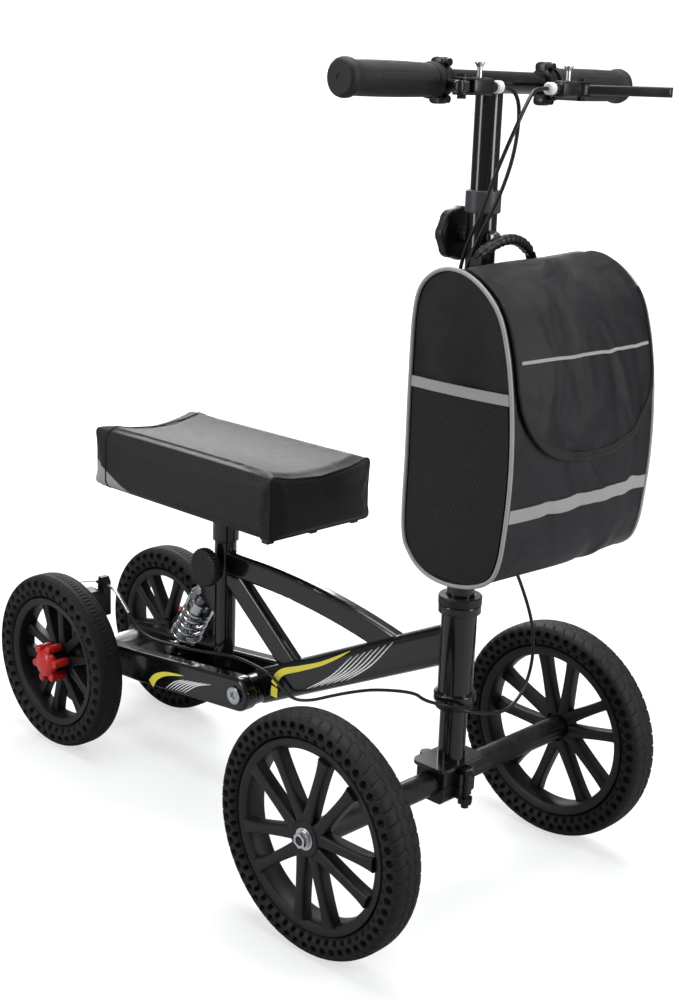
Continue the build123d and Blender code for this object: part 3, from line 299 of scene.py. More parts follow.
red_plastic = finish("red_plastic", (0.50, 0.014, 0.012), 0.32, vary=0.12, grain=(900.0, 0.4), bump=0.15,
                     coat=0.3)[0]
cable_jacket = finish("cable_jacket", (0.008, 0.008, 0.009), 0.30, grain=(1800.0, 0.2), bump=0.1)[0]
bronze = finish("bronze", (0.45, 0.30, 0.13), 0.35, metallic=1.0)[0]
board_wood = finish("board_wood", (0.020, 0.018, 0.016), 0.7, grain=(300.0, 0.2))[0]
white_print = finish("white_print", (0.80, 0.81, 0.82), 0.35, vary=0.05, dust=0.0, bump=0.05)[0]
yellow_print = finish("yellow_print", (0.80, 0.72, 0.08), 0.35, vary=0.06, dust=0.0, bump=0.05)[0]

# %% Bolts that are bright at the wheels and on the collar, and black elsewhere
clamp_bolts, bolt_tree, bolt_shader, bolt_place, _, bolt_varied = finish(
    "clamp_bolts", (0.60, 0.61, 0.63), 0.26, round_edges=0.0006)
bolt_split = node(bolt_tree, "SeparateXYZ", [(0, bolt_place)])
at_wheel = math_node(bolt_tree, "GREATER_THAN", math_node(bolt_tree, "ABSOLUTE", bolt_split.outputs["Y"]),
                     0.15)
on_collar = math_node(bolt_tree, "COMPARE", bolt_split.outputs["Z"], 0.846, 0.05)
bright = math_node(bolt_tree, "MAXIMUM", at_wheel, on_collar)
bolt_colour = node(bolt_tree, "Mix", [("Factor", bright), (6, (0.007, 0.007, 0.008, 1)),
                                      (7, bolt_varied.outputs["Color"])], data_type="RGBA")
bolt_tree.links.new(bolt_colour.outputs[2], bolt_shader.inputs["Base Color"])
bolt_tree.links.new(bright, bolt_shader.inputs["Metallic"])

# %% [markdown]
# ### Cloth finishes
# Coated nylon has a fine plain weave and soft creases; the side pockets are an open mesh, the
# reflective tapes a smooth grey weave. Their threads follow each panel's own UV map, because a
# pattern in space would smear where the cloth turns away.


# %% Cloth finishes
def cloth(name, colour, rough, pitch, depth, crease=0.0, gap_colour=None, **more):
    """A woven finish whose threads follow the UV map, which is in metres."""
    material, tree, shader, place, bumped, varied = finish(name, colour, rough, **more)
    along = tree.nodes.new("ShaderNodeUVMap").outputs["UV"]
    threads = place_group(tree, crossed_threads, Place=along, Pitch=pitch)
    height = threads.outputs["Height"]
    if crease > 0:
        folds = node(tree, "TexNoise", [("Vector", place), ("Scale", 8.0), ("Detail", 1.6),
                                        ("Distortion", 1.3)])
        big = math_node(tree, "MULTIPLY", folds.outputs["Fac"], crease / depth)
        height = math_node(tree, "ADD", height, big)
    tree.links.new(height, bumped.inputs["Height"])
    bumped.inputs["Distance"].default_value = depth
    bumped.inputs["Strength"].default_value = 0.8
    if gap_colour is not None:
        mixed = node(tree, "Mix", [("Factor", threads.outputs["Gap"]), (6, varied.outputs["Color"]),
                                   (7, (*gap_colour, 1))], data_type="RGBA")
        tree.links.new(mixed.outputs[2], shader.inputs["Base Color"])
    return material


bag_nylon = cloth("bag_nylon", (0.0055, 0.0058, 0.0075), 0.36, 0.0011, 0.00012, crease=0.016, vary=0.3)
pocket_mesh = cloth("pocket_mesh", (0.010, 0.010, 0.011), 0.6, 0.0046, 0.0006,
                    gap_colour=(0.001, 0.001, 0.001))
grey_tape = cloth("grey_tape", (0.33, 0.33, 0.32), 0.42, 0.0008, 0.00008, crease=0.001, vary=0.15)
edge_binding = cloth("edge_binding", (0.012, 0.012, 0.013), 0.6, 0.0009, 0.0001)
webbing = cloth("webbing", (0.012, 0.012, 0.013), 0.6, 0.0016, 0.0003)

# %% [markdown]
# ## Surfaces from numpy
# A surface is a grid of points: rows and columns worked out as whole arrays. `grid_faces` joins
# them, closing either direction when the surface comes back to its start. `keep` welds the seams,
# turns the faces outwards, shades the surface and hangs it on the body it moves with.


# %% Mesh helpers
def grid_faces(rows, columns, wrap_rows=False, wrap_columns=False):
    """Quads between neighbouring points of a rows by columns grid, as indices."""
    r = np.arange(rows if wrap_rows else rows - 1)[:, None]
    c = np.arange(columns if wrap_columns else columns - 1)[None, :]
    r2, c2 = (r + 1) % rows, (c + 1) % columns
    quads = np.stack([r * columns + c, r * columns + c2, r2 * columns + c2, r2 * columns + c], axis=-1)
    return quads.reshape(-1, 4)


def closed_grid(points):
    """Faces of a tube-like grid, wrapped round its columns, with a flat cap at each end."""
    rows, columns = points.shape[:2]
    faces = grid_faces(rows, columns, wrap_columns=True).tolist()
    faces.append(list(range(columns - 1, -1, -1)))
    faces.append(list(range((rows - 1) * columns, rows * columns)))
    return points.reshape(-1, 3), faces


def join(*shapes):
    """Several (points, faces) as one."""
    points, faces, start = [], [], 0
    for shape_points, shape_faces in shapes:
        points.append(shape_points)
        faces += [[index + start for index in face] for face in shape_faces]
        start += len(shape_points)
    return np.concatenate(points), faces


def keep(name, shape, material, body, hides=(), sharp=35.0, uv=None):
    """A finished piece from (points, faces): welded, faces outwards, shaded, riding on its body."""
    points, faces = shape
    mesh = bpy.data.meshes.new(name)
    mesh.from_pydata(np.asarray(points).tolist(), [], faces)
    if uv is not None:
        layer = mesh.uv_layers.new(name="cloth")
        loop_points = np.empty(len(mesh.loops), dtype=np.int32)
        mesh.loops.foreach_get("vertex_index", loop_points)
        layer.data.foreach_set("uv", np.asarray(uv)[loop_points].astype(np.float32).ravel())
    work = bmesh.new()
    work.from_mesh(mesh)
    bmesh.ops.remove_doubles(work, verts=work.verts, dist=2e-6)
    bmesh.ops.recalc_face_normals(work, faces=work.faces)
    work.to_mesh(mesh)
    work.free()
    mesh.shade_smooth()
    mesh.set_sharp_from_angle(angle=math.radians(sharp))
    piece = bpy.data.objects.new(name, mesh)
    bpy.context.collection.objects.link(piece)
    for one in material if isinstance(material, (list, tuple)) else [material]:
        mesh.materials.append(one)
    if body is not None:
        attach(piece, body)
    if hides:
        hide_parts(*hides)
    return piece


# %% Shape helpers
def turned(profile, steps, centre, axis="y", closed=True):
    """A profile of (radius, distance along the axis) carried round the axis.
    x = r cos t and z = r sin t for an axis along Y; x = r cos t and y = r sin t for one along Z."""
    radius, along = np.asarray(profile, dtype=float).T
    t = np.linspace(0, math.tau, steps, endpoint=False)[:, None]
    a, b, c = radius * np.cos(t), radius * np.sin(t), along + 0 * t
    order = {"y": (a, c, b), "z": (a, b, c), "x": (c, a, b)}[axis]
    points = np.stack(order, axis=-1) + np.asarray(centre)
    return points.reshape(-1, 3), grid_faces(steps, len(radius), True, closed).tolist()


def rounded_section(width, depth, power=4.0, count=24):
    """A closed section between an ellipse and a rectangle: |x/a|^p + |y/b|^p = 1."""
    t = np.linspace(0, math.tau, count, endpoint=False)
    c, s = np.cos(t), np.sin(t)
    x = width / 2 * np.sign(c) * np.abs(c) ** (2 / power)
    y = depth / 2 * np.sign(s) * np.abs(s) ** (2 / power)
    return np.stack([x, y], axis=-1)


def path_frames(path, side):
    """At each point of a path: its direction, and two axes across it, the first as near side as it can be."""
    path = np.asarray(path, dtype=float)
    along = np.gradient(path, axis=0)
    along /= np.linalg.norm(along, axis=1, keepdims=True)
    first = side - along * (along @ np.asarray(side, dtype=float))[:, None]
    first /= np.linalg.norm(first, axis=1, keepdims=True)
    return along, first, np.cross(along, first)


def carried(path, sections, side):
    """A closed section (or one per point) carried along a path, with its first axis held near side."""
    path = np.asarray(path, dtype=float)
    sections = np.asarray(sections)
    if sections.ndim == 2:
        sections = np.repeat(sections[None], len(path), axis=0)
    _, first, second = path_frames(path, np.asarray(side, dtype=float))
    points = path[:, None] + sections[..., :1] * first[:, None] + sections[..., 1:] * second[:, None]
    return closed_grid(points)


def smooth_loop(points, count):
    """A closed smooth curve through points (Catmull-Rom), sampled evenly in its parameter."""
    points = np.asarray(points, dtype=float)
    size = len(points)
    t = np.linspace(0, size, count, endpoint=False)
    i = t.astype(int)
    f = (t - i)[:, None]
    p0, p1, p2, p3 = (points[(i + k) % size] for k in (-1, 0, 1, 2))
    return 0.5 * (2 * p1 + (p2 - p0) * f + (2 * p0 - 5 * p1 + 4 * p2 - p3) * f ** 2
                  + (3 * p1 - p0 - 3 * p2 + p3) * f ** 3)


def gentle_noise(points, seed, waves=9, low=6.0, high=26.0):
    """Smooth noise between about -1 and 1: a few sine waves with seeded directions and lengths."""
    draw = np.random.default_rng(seed)
    total = 0
    for _ in range(waves):
        direction = draw.normal(size=3)
        direction *= draw.uniform(low, high) / np.linalg.norm(direction)
        total = total + np.sin(points @ direction + draw.uniform(0, math.tau))
    return total / math.sqrt(waves)


# %% [markdown]
# ## Tyres
# The tyres are solid rubber, so they are ventilated: two rings of round holes go into each side
# wall. The section is a rounded rectangle, |r|^p + |y|^p = 1, carried round the wheel. Holes and
# tread are heights on that surface: each point is pushed inwards by how far it lies inside the
# nearest hole or groove.


# %% Tyre surface
def smooth_step(value):
    """0 below 0, 1 above 1, and 3v^2 - 2v^3 between."""
    v = np.clip(value, 0, 1)
    return v * v * (3 - 2 * v)


def tyre_surface(centre, seat, outer, width, rings, holes, steps, knurled):
    """Grid of points: steps round the wheel by samples round the section, with holes and tread."""
    middle, half = (seat + outer) / 2, width / 2
    depth = (outer - seat) / 2
    phi = np.concatenate([np.linspace(-1.95, 1.95, 78), np.linspace(2.05, 4.23, 8)])
    power = 3.2
    c, s = np.cos(phi), np.sin(phi)
    r = middle + depth * np.sign(c) * np.abs(c) ** (2 / power)
    y = half * np.sign(s) * np.abs(s) ** (2 / power)
    nr = np.sign(c) * np.abs(c) ** (2 - 2 / power) / depth
    ny = np.sign(s) * np.abs(s) ** (2 - 2 / power) / half
    scale = np.hypot(nr, ny)
    nr, ny = nr / scale, ny / scale
    t = np.linspace(0, math.tau, steps, endpoint=False)[:, None]
    sink = np.zeros((steps, len(phi)))
    pitch = math.tau / holes
    for ring_r, hole_r, offset in rings:
        across = ((t / pitch + offset) % 1 - 0.5) * pitch * ring_r
        distance = np.hypot(across, r - ring_r)
        sink += 0.0065 * smooth_step((hole_r - distance) / 0.0012 + 0.5) * (np.abs(ny) > 0.55)
    tread = smooth_step((nr - 0.35) / 0.3)
    if knurled:
        cells = np.cos(t * holes * 3) * np.cos(y * 2600)
        sink += 0.0011 * tread * smooth_step(cells * 2)
    else:
        zigzag = 0.0022 * (4 * np.abs((t * holes / math.tau) % 1 - 0.5) - 1)
        for line in (-0.0055, 0.0055):
            sink += 0.0016 * tread * smooth_step(1.3 - np.abs(y - line - zigzag) / 0.0010)
        sipe = np.abs(((t * holes * 1.0 / math.tau + np.abs(y) * 22) % 1) - 0.5) * pitch * outer
        shoulder = smooth_step((np.abs(y) - 0.0095) / 0.001) * tread
        sink += 0.0016 * shoulder * smooth_step(1.5 - sipe / 0.0011)
    radius, along = r - nr * sink, y - ny * sink
    points = np.stack([radius * np.cos(t), along + 0 * t, radius * np.sin(t)], axis=-1) + np.asarray(centre)
    return points.reshape(-1, 3), grid_faces(steps, len(phi), True, True).tolist()


# %% [markdown]
# ## Rims
# A moulded rim has a barrel with raised lips, a hub that holds the bearing, and five pairs of
# straight spokes that spread towards the barrel. Barrel and hub are turned; each spoke is a rounded
# section carried outwards, wider where it meets its neighbours.


# %% Rim surface
def rim_surface(centre, outward, seat, bore, hub, spokes, phase, half_width=0.018):
    """Barrel, hub and ten spokes.
    hub is (radius, inner face, outer face, bearing radius, bearing width); spokes is (inner, outer)."""
    lip = (seat - bore) * 0.35
    barrel = [(seat, -half_width + 0.001), (seat, half_width - 0.001), (seat - 0.001, half_width),
              (seat - lip, half_width), (bore + 0.002, half_width - 0.003), (bore, half_width - 0.008),
              (bore, 0.0), (bore, -half_width + 0.008), (bore + 0.002, -half_width + 0.003),
              (seat - lip, -half_width), (seat - 0.001, -half_width)]
    hub_r, hub_in, hub_out, bearing_r, bearing_w = hub
    hub_ring = [(0.0085, hub_in), (hub_r - 0.001, hub_in), (hub_r, hub_in + 0.001), (hub_r, hub_out - 0.002),
                (hub_r - 0.0015, hub_out), (bearing_r + 0.002, hub_out),
                (bearing_r + 0.0002, hub_out - 0.001), (bearing_r + 0.0002, hub_out - bearing_w),
                (0.0085, hub_out - bearing_w)]
    shapes = [turned(barrel, 128, (0, 0, 0)), turned(hub_ring, 72, (0, 0, 0))]
    spread = math.radians(13.5)
    steps = np.linspace(0, 1, 14)
    width = 0.0138 + 0.005 * (1 - steps) ** 3 + 0.006 * steps ** 7
    for pair in range(5):
        angle = math.radians(phase + 72 * pair)
        for side in (-1, 1):
            root = np.array([hub_r * 0.8, side * 0.009])
            tip = np.array([(bore + 0.002) * math.cos(spread), side * (bore + 0.002) * math.sin(spread)])
            flat = root + (tip - root) * steps[:, None]
            x = flat[:, 0] * math.cos(angle) - flat[:, 1] * math.sin(angle)
            z = flat[:, 0] * math.sin(angle) + flat[:, 1] * math.cos(angle)
            path = np.stack([x, np.full_like(x, sum(spokes) / 2), z], axis=-1)
            sections = np.stack([rounded_section(abs(spokes[1] - spokes[0]), w, 5.0) for w in width])
            shapes.append(carried(path, sections, (0, 1, 0)))
    points, faces = join(*shapes)
    return points * (1, outward, 1) + np.asarray(centre), faces


# %% Four wheels
def wheel_centre(name):
    """Middle of a wheel, from its tyre's box."""
    low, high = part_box(name + "_tyre")
    return [(a + b) / 2 for a, b in zip(low, high)]


FRONT_RINGS = [(0.1392, 0.0044, 0.0), (0.1285, 0.0031, 0.5)]
REAR_RINGS = [(0.1228, 0.0052, 0.0), (0.1098, 0.0041, 0.5)]
FRONT_HUB, REAR_HUB = (0.023, 0.0088, 0.0225, 0.014, 0.008), (0.017, -0.020, 0.018, 0.014, 0.008)
FRONT_PHASE = {"right": 63.0, "left": 23.0}
REAR_PHASE = {"right": 30.0, "left": 60.0}
for wheel_side, outward in (("right", -1), ("left", 1)):
    name = "front_" + wheel_side
    centre = wheel_centre(name)
    keep(name + "_tread_tyre", tyre_surface(centre, 0.121, 0.1525, 0.046, FRONT_RINGS, 56, 896, False),
         solid_rubber, name + "_wheel", [name + "_tyre"], sharp=50)
    rim = rim_surface(centre, outward, 0.121, 0.107, FRONT_HUB, (0.003, 0.021), FRONT_PHASE[wheel_side])
    keep(name + "_spoked_rim", rim, moulded_rim, name + "_wheel", [name + "_rim"])
    name = "rear_" + wheel_side
    centre = wheel_centre(name)
    keep(name + "_tread_tyre", tyre_surface(centre, 0.101, 0.1355, 0.046, REAR_RINGS, 40, 800, True),
         solid_rubber, name + "_wheel", [name + "_tyre"], sharp=50)
    rim = rim_surface(centre, outward, 0.101, 0.088, REAR_HUB, (-0.016, 0.002), REAR_PHASE[wheel_side])
    keep(name + "_spoked_rim", rim, moulded_rim, name + "_wheel", [name + "_rim"])
print("wheels made")

# %% [markdown]
# ## Finishes for the metal parts
# The welded frame, the axle clamp, bolts and shafts are right as they come from the CAD model, so
# they only get their finish.

# %% Material of each bare part
NODE_FINISH = {
    gloss_paint: ["head_tube", "main_beam", "arch_tube", "seat_strut", "seat_tube", "steering_column",
                  "tiller_tube", "crossbar", "seat_post", "swing_arm_right", "swing_arm_left",
                  "swing_bridge"],
    satin_paint: ["headset_rings", "front_axle", "axle_clamp_upper", "axle_clamp_lower",
                  "lever_brackets", "brake_caliper", "brake_lever_right", "brake_lever_left"],
    clamp_bolts: ["column_bolts", "handlebar_bolts"],
    zinc: ["lock_pin_right", "lock_pin_left", "rear_axle",
           "swing_hardware", "brake_arm", "headset_bearings", "front_right_bearing",
           "front_left_bearing", "rear_right_bearing", "rear_left_bearing"],
    chrome: ["frame_bolts", "shock_body", "shock_slider", "shock_spring"],
    ground_steel: ["brake_disc"],
    grey_plastic: ["column_collar"],
    milky_plastic: ["barrel_adjusters"],
    black_plastic: ["tiller_knob", "seat_knob", "handlebar_grips"],
    red_plastic: ["rear_axle_knobs"],
    bronze: ["pivot_bushes"],
    board_wood: ["pad_board"],
    cable_jacket: ["beam_cable", "steer_cable", "lever_cables", "arm_cable"],
    bag_nylon: ["bag_body"],
    webbing: ["bag_handle"],
    solid_rubber: ["knee_pad", "front_right_tyre", "front_left_tyre", "rear_right_tyre", "rear_left_tyre"],
    moulded_rim: ["front_right_rim", "front_left_rim", "rear_right_rim", "rear_left_rim"],
}
dressed = set()
for material, names in NODE_FINISH.items():
    for name in names:
        slots = nodes[name].material_slots
        for index in range(len(slots)):
            slots[index].material = material
        dressed.add(name)
print("without a finish:", sorted(set(nodes) - dressed))

# %% [markdown]
# ## Printed stripes
# The beam and the swing arm carry a printed pattern: a yellow swoosh and a fan of fine white
# curves. Each stripe is a thin plate that follows a curve on the tube's flat side; its width
# swells and tapers as sin(pi t).


# %% Stripes
def stripe(points, width, y, profile="both", count=36):
    """A thin plate along a smooth curve through (x, z) points.
    width(t) is width * sin(pi t)^0.4 for both ends thin, width * (1 - t)^0.7 for one, or constant."""
    points = np.asarray(points, dtype=float)
    padded = np.concatenate([[2 * points[0] - points[1]], points, [2 * points[-1] - points[-2]]])
    t = np.linspace(0, len(points) - 1 - 1e-9, count)
    i, f = t.astype(int), (t % 1)[:, None]
    p0, p1, p2, p3 = (padded[i + k] for k in range(4))
    curve = 0.5 * (2 * p1 + (p2 - p0) * f + (2 * p0 - 5 * p1 + 4 * p2 - p3) * f ** 2
                   + (3 * p1 - p0 - 3 * p2 + p3) * f ** 3)
    run = np.gradient(curve, axis=0)
    run /= np.linalg.norm(run, axis=1, keepdims=True)
    t = t / t[-1]
    shape = {"both": np.clip(np.sin(math.pi * t), 0.02, 1) ** 0.4, "one": np.clip(1 - t, 0.02, 1) ** 0.7,
             "none": np.ones(count)}[profile]
    side = np.stack([-run[:, 1], run[:, 0]], axis=-1) * (width / 2 * shape)[:, None]
    out = math.copysign(0.00025, y)
    rows = [np.stack([curve[:, 0] + s * side[:, 0], np.full(count, y + o), curve[:, 1] + s * side[:, 1]],
                     axis=-1)
            for s, o in ((-1, 0), (-1, out), (1, out), (1, 0))]
    return closed_grid(np.stack(rows, axis=1))


def fan(starts, ends, bow, width, y):
    """Fine curves from a row of starts to a row of ends; each bows by bow times its own length."""
    shapes = []
    for (x0, z0), (x1, z1) in zip(starts, ends):
        middle = ((x0 + x1) / 2 + bow * (z1 - z0), (z0 + z1) / 2 - bow * (x1 - x0))
        shapes.append(stripe([(x0, z0), middle, (x1, z1)], width, y))
    return shapes


def between(a, b, count):
    """Evenly spaced points from a to b."""
    return [tuple(p) for p in np.linspace(a, b, count)]


BEAM_SIDE, ARM_SIDE = 0.0191, 0.0571
for print_side, name in ((-1, "right"), (1, "left")):
    y = print_side * BEAM_SIDE
    swoosh = [stripe([(0.0122, 0.1888), (0.0180, 0.2018), (0.0320, 0.2144), (0.0638, 0.2286),
                      (0.1025, 0.2470), (0.1361, 0.2673), (0.158, 0.2824)], 0.0125, y, "one"),
              stripe([(0.0138, 0.1850), (0.0126, 0.1780), (0.0124, 0.1700)], 0.0130, y, "none")]
    keep("beam_swoosh_" + name, join(*swoosh), yellow_print, "frame")
    lines = fan(between((0.0785, 0.2028), (0.1540, 0.2390), 7), between((0.162, 0.2757), (0.2341, 0.3170), 7),
                0.045, 0.0018, y)
    keep("beam_lines_" + name, join(*lines), white_print, "frame")
    y = print_side * ARM_SIDE
    swoosh = [stripe([(-0.2173, 0.1284), (-0.2053, 0.1427), (-0.1817, 0.1548), (-0.1424, 0.1640)], 0.0135, y,
                     "one")]
    keep("arm_swoosh_" + name, join(*swoosh), yellow_print, "swing_arm")
    lines = fan(between((-0.1816, 0.1324), (-0.1398, 0.1377), 7),
                between((-0.140, 0.1582), (-0.0796, 0.1700), 7),
                -0.06, 0.0016, y)
    keep("arm_lines_" + name, join(*lines), white_print, "swing_arm")

# %% [markdown]
# ## Spring and damper
# A coil spring is a wire carried round a helix, x = R cos t, y = R sin t, with its pitch closed up
# at each end so that it stands flat on its seats. Its top rides on the damper's body and its foot
# on the shaft.


# %% Coil spring
SHOCK_TOP, SHOCK_FOOT = np.array([-0.151, 0, 0.287]), np.array([-0.218, 0, 0.175])


def shock_points(local):
    """Points given across and along the shock, moved onto its axis."""
    axis = (SHOCK_FOOT - SHOCK_TOP) / np.linalg.norm(SHOCK_FOOT - SHOCK_TOP)
    first = np.array([0.0, 1.0, 0.0])
    second = np.cross(axis, first)
    return SHOCK_TOP + local[..., :1] * first + local[..., 1:2] * second + local[..., 2:] * axis


turns = np.linspace(0, 1, 260)
angle = turns * math.tau * 4.2
rise = 0.0462 + 0.0483 * smooth_step(turns) * 0.55 + 0.0483 * turns * 0.45
coil = np.stack([0.019 * np.cos(angle), 0.019 * np.sin(angle), rise], axis=-1)
wire = rounded_section(0.0068, 0.0068, 2.0, 14)
_, first, second = path_frames(coil, np.array([0.0, 0.0, 1.0]))
ring = coil[:, None] + wire[None, :, :1] * first[:, None] + wire[None, :, 1:] * second[:, None]
spring_points, spring_faces = closed_grid(ring)
spring = keep("coil_spring", (shock_points(spring_points), spring_faces), chrome, None, ["shock_spring"])
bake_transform(spring)

# %% [markdown]
# ## Grips
# Each grip is turned: a ring at the inner end, a slightly swollen middle and a flared end with
# small facets. Its surface has shallow dots where the palm holds it.

# %% Grips
grip_rubber, grip_tree, _, grip_place, grip_bump, _ = finish("grip_rubber", (0.012, 0.012, 0.013), 0.52)
dots = node(grip_tree, "TexVoronoi", [("Vector", grip_place), ("Scale", 330.0), ("Randomness", 0.0)])
dot_height = node(grip_tree, "MapRange", [("Value", dots.outputs["Distance"]), ("From Min", 0.2),
                                          ("From Max", 0.5)])
where = node(grip_tree, "SeparateXYZ", [(0, grip_place)])
span = math_node(grip_tree, "SUBTRACT", math_node(grip_tree, "ABSOLUTE", where.outputs["Y"]), 0.172)
inside = node(grip_tree, "MapRange", [("Value", math_node(grip_tree, "ABSOLUTE", span)), ("From Min", 0.040),
                                      ("From Max", 0.036)])
grip_tree.links.new(math_node(grip_tree, "MULTIPLY", dot_height.outputs[0], inside.outputs[0]),
                    grip_bump.inputs["Height"])
grip_bump.inputs["Distance"].default_value = 0.0006
grip_bump.inputs["Strength"].default_value = 0.7

GRIP = [(0.0126, 0.1030), (0.0190, 0.1030), (0.0197, 0.1040), (0.0197, 0.1110), (0.0188, 0.1122),
        (0.0179, 0.1130), (0.0184, 0.1300), (0.0189, 0.1600), (0.0190, 0.1900), (0.0187, 0.2200),
        (0.0185, 0.2300), (0.0190, 0.2335), (0.0206, 0.2375), (0.0210, 0.2400), (0.0210, 0.2440),
        (0.0200, 0.2475), (0.0175, 0.2498), (0.0040, 0.2500), (0.0030, 0.2490), (0.0, 0.2488)]
BAR_PLACE = (0.331, 0.0, 1.020)
for side, name in ((-1, "right"), (1, "left")):
    points, faces = turned(GRIP, 96, (0, 0, 0), closed=False)
    keep("grip_" + name, (points * (1, side, 1) + BAR_PLACE, faces), grip_rubber, "handlebar",
         ["handlebar_grips"])

# %% [markdown]
# ## Brake levers
# A lever is a flat bar with rounded edges that narrows from its boss to a rounded tip. The section
# is carried along the blade, and its width is a function of how far along it lies.


# %% Levers
def lever_surface(side):
    """Blade and boss of one lever, in its closed-in plane."""
    angle = math.radians(51)
    along = np.array([math.cos(angle), side * math.sin(angle), 0])
    root = np.array([0.376, side * 0.108, 1.015])
    t = np.concatenate([[-0.004, -0.0035, -0.002], np.linspace(0.0, 0.097, 18),
                        0.1095 - 0.0065 * np.array([1, 0.75, 0.5, 0.25, 0.08, 0])])
    width = np.interp(t, [-0.004, 0, 0.02, 0.06, 0.095, 0.103, 0.1095],
                      [0.013, 0.0135, 0.0125, 0.0095, 0.0095, 0.0115, 0.0115])
    cap = np.clip((0.1095 - t) / 0.0065, 0, 1)
    width = width * np.sqrt(np.clip(1 - (1 - cap) ** 2, 0.02, 1))
    bow = 0.0035 * np.sin(np.clip(t / 0.103, 0, 1) * math.pi)
    across = np.cross((0, 0, 1), along)
    path = root + along * t[:, None] - across * bow[:, None] * side
    sections = np.stack([rounded_section(0.0118 - 0.002 * (k > 0.11), w, 3.6, 28) for k, w in zip(t, width)])
    boss = [(0.00315, -0.006), (0.0080, -0.006), (0.0085, -0.0055), (0.0085, 0.0055), (0.0080, 0.006),
            (0.00315, 0.006)]
    return join(carried(path, sections, (0, 0, 1)), turned(boss, 40, root, axis="z"))


for side, name in ((-1, "right"), (1, "left")):
    keep("lever_" + name, lever_surface(side), satin_paint, name + "_lever", ["brake_lever_" + name])

# %% [markdown]
# ### Lever brackets
# Each lever turns in a cast bracket. A ring with a rounded knuckle above and below grips the bar,
# a short neck reaches forward, and the housing in front of it ends in two jaws that hold the
# lever. Cast parts have no sharp edge, so every part here is a rounded section carried along a path.


# %% Brackets
def rounded_run(start, end, section, side, edge=0.0015):
    """A section carried straight from start to end; both ends shrink over the last bit, as a rounded edge."""
    t = np.array([0, 0.3, 1.0, -1.0, -0.3, 0]) * edge
    start, end = np.asarray(start, dtype=float), np.asarray(end, dtype=float)
    run = (end - start) / np.linalg.norm(end - start)
    path = np.concatenate([start + run * t[:3, None], end + run * t[3:, None]])
    extent = np.abs(section).max()
    scale = 1 - np.array([1.0, 0.45, 0, 0, 0.45, 1.0]) * edge / extent
    return carried(path, section[None] * scale[:, None, None], side)


def bracket(side):
    """Ring, knuckles, neck, housing, adjuster boss and jaws of one bracket, for y > 0, then mirrored."""
    bar_x, bar_z, x, z = 0.331, 1.020, 0.376, 1.015
    ring = [(0.01252, 0.0855), (0.0160, 0.0855), (0.0174, 0.0868), (0.0174, 0.0992), (0.0160, 0.1005),
            (0.01252, 0.1005)]
    shapes = [turned(ring, 56, (bar_x, 0, bar_z))]
    for lug in (-1, 1):
        lug_z = bar_z + lug * 0.0188
        shapes.append(rounded_run((bar_x, 0.0858, lug_z), (bar_x, 0.1002, lug_z),
                                  rounded_section(0.0185, 0.0125, 2.8), (1, 0, 0)))
    shapes.append(rounded_run((bar_x + 0.014, 0.093, z), (x - 0.006, 0.093, z),
                              rounded_section(0.0145, 0.0135, 3.0), (0, 1, 0)))
    shapes.append(rounded_run((x, 0.062, z), (x, 0.0972, z), rounded_section(0.017, 0.0186, 4.0), (1, 0, 0)))
    shapes.append(rounded_run((x, 0.0532, z), (x, 0.0635, z), rounded_section(0.012, 0.012, 2.0), (1, 0, 0),
                              0.001))
    y = np.concatenate([np.linspace(0.0955, 0.1105, 6),
                        0.1105 + 0.0085 * np.sin(np.linspace(0.2, math.pi / 2, 8))])
    width = 0.017 * np.sqrt(np.clip(1 - (np.clip(y - 0.1105, 0, None) / 0.0086) ** 2, 0.02, 1))
    sections = np.stack([rounded_section(w, 0.0029, 6.0) for w in width])
    for jaw in (-1, 1):
        path = np.stack([np.full_like(y, x), y, np.full_like(y, z + jaw * 0.00785)], axis=-1)
        shapes.append(carried(path, sections, (1, 0, 0)))
    points, faces = join(*shapes)
    return points * (1, side, 1), faces


for side, name in ((-1, "right"), (1, "left")):
    keep("bracket_" + name, bracket(side), satin_paint, "handlebar", ["lever_brackets"])

# %% [markdown]
# ## Hand knobs
# A knob's edge is a circle with waves on it, r = R + a cos(n t), and its faces are rounded off.
# The rear axle's knobs are stars of six fingers round a domed middle.


# %% Knobs
def lobed_knob(radius, wave, lobes, thick, rounding, dish, sharpness=1.0):
    """Surface of a knob: rows run from the middle of one face over the rim to the middle of the other."""
    t = np.linspace(0, math.tau, 24 * lobes, endpoint=False)
    edge = radius - wave + wave * np.sign(np.cos(lobes * t)) * np.abs(np.cos(lobes * t)) ** sharpness
    turn = np.linspace(0, math.pi / 2, 7)
    inset = rounding * (1 - np.sin(turn))
    height = thick / 2 - rounding * (1 - np.cos(turn))
    rows = [(0.0, thick / 2 - dish), (0.45, thick / 2 - dish), (0.62, thick / 2)]
    parts = [np.stack([edge * k, edge * 0 + h, t], axis=-1) for k, h in rows]
    parts += [np.stack([edge - i, edge * 0 + h, t], axis=-1) for i, h in zip(inset, height)]
    parts += [np.stack([edge - i, edge * 0 - h, t], axis=-1) for i, h in zip(inset[::-1], height[::-1])]
    parts.append(np.stack([edge * 0, edge * 0 - thick / 2, t], axis=-1))
    grid = np.stack(parts)
    points = np.stack([grid[..., 0] * np.cos(grid[..., 2]), grid[..., 0] * np.sin(grid[..., 2]),
                       grid[..., 1]], axis=-1)
    return points.reshape(-1, 3), grid_faces(len(parts), len(t), False, True).tolist()


def laid(shape, place, towards):
    """A shape whose face looks along +Z, turned to look another way and moved."""
    turn = np.array(Vector(towards).to_track_quat("Z", "Y").to_matrix())
    return shape[0] @ turn.T + np.asarray(place), shape[1]


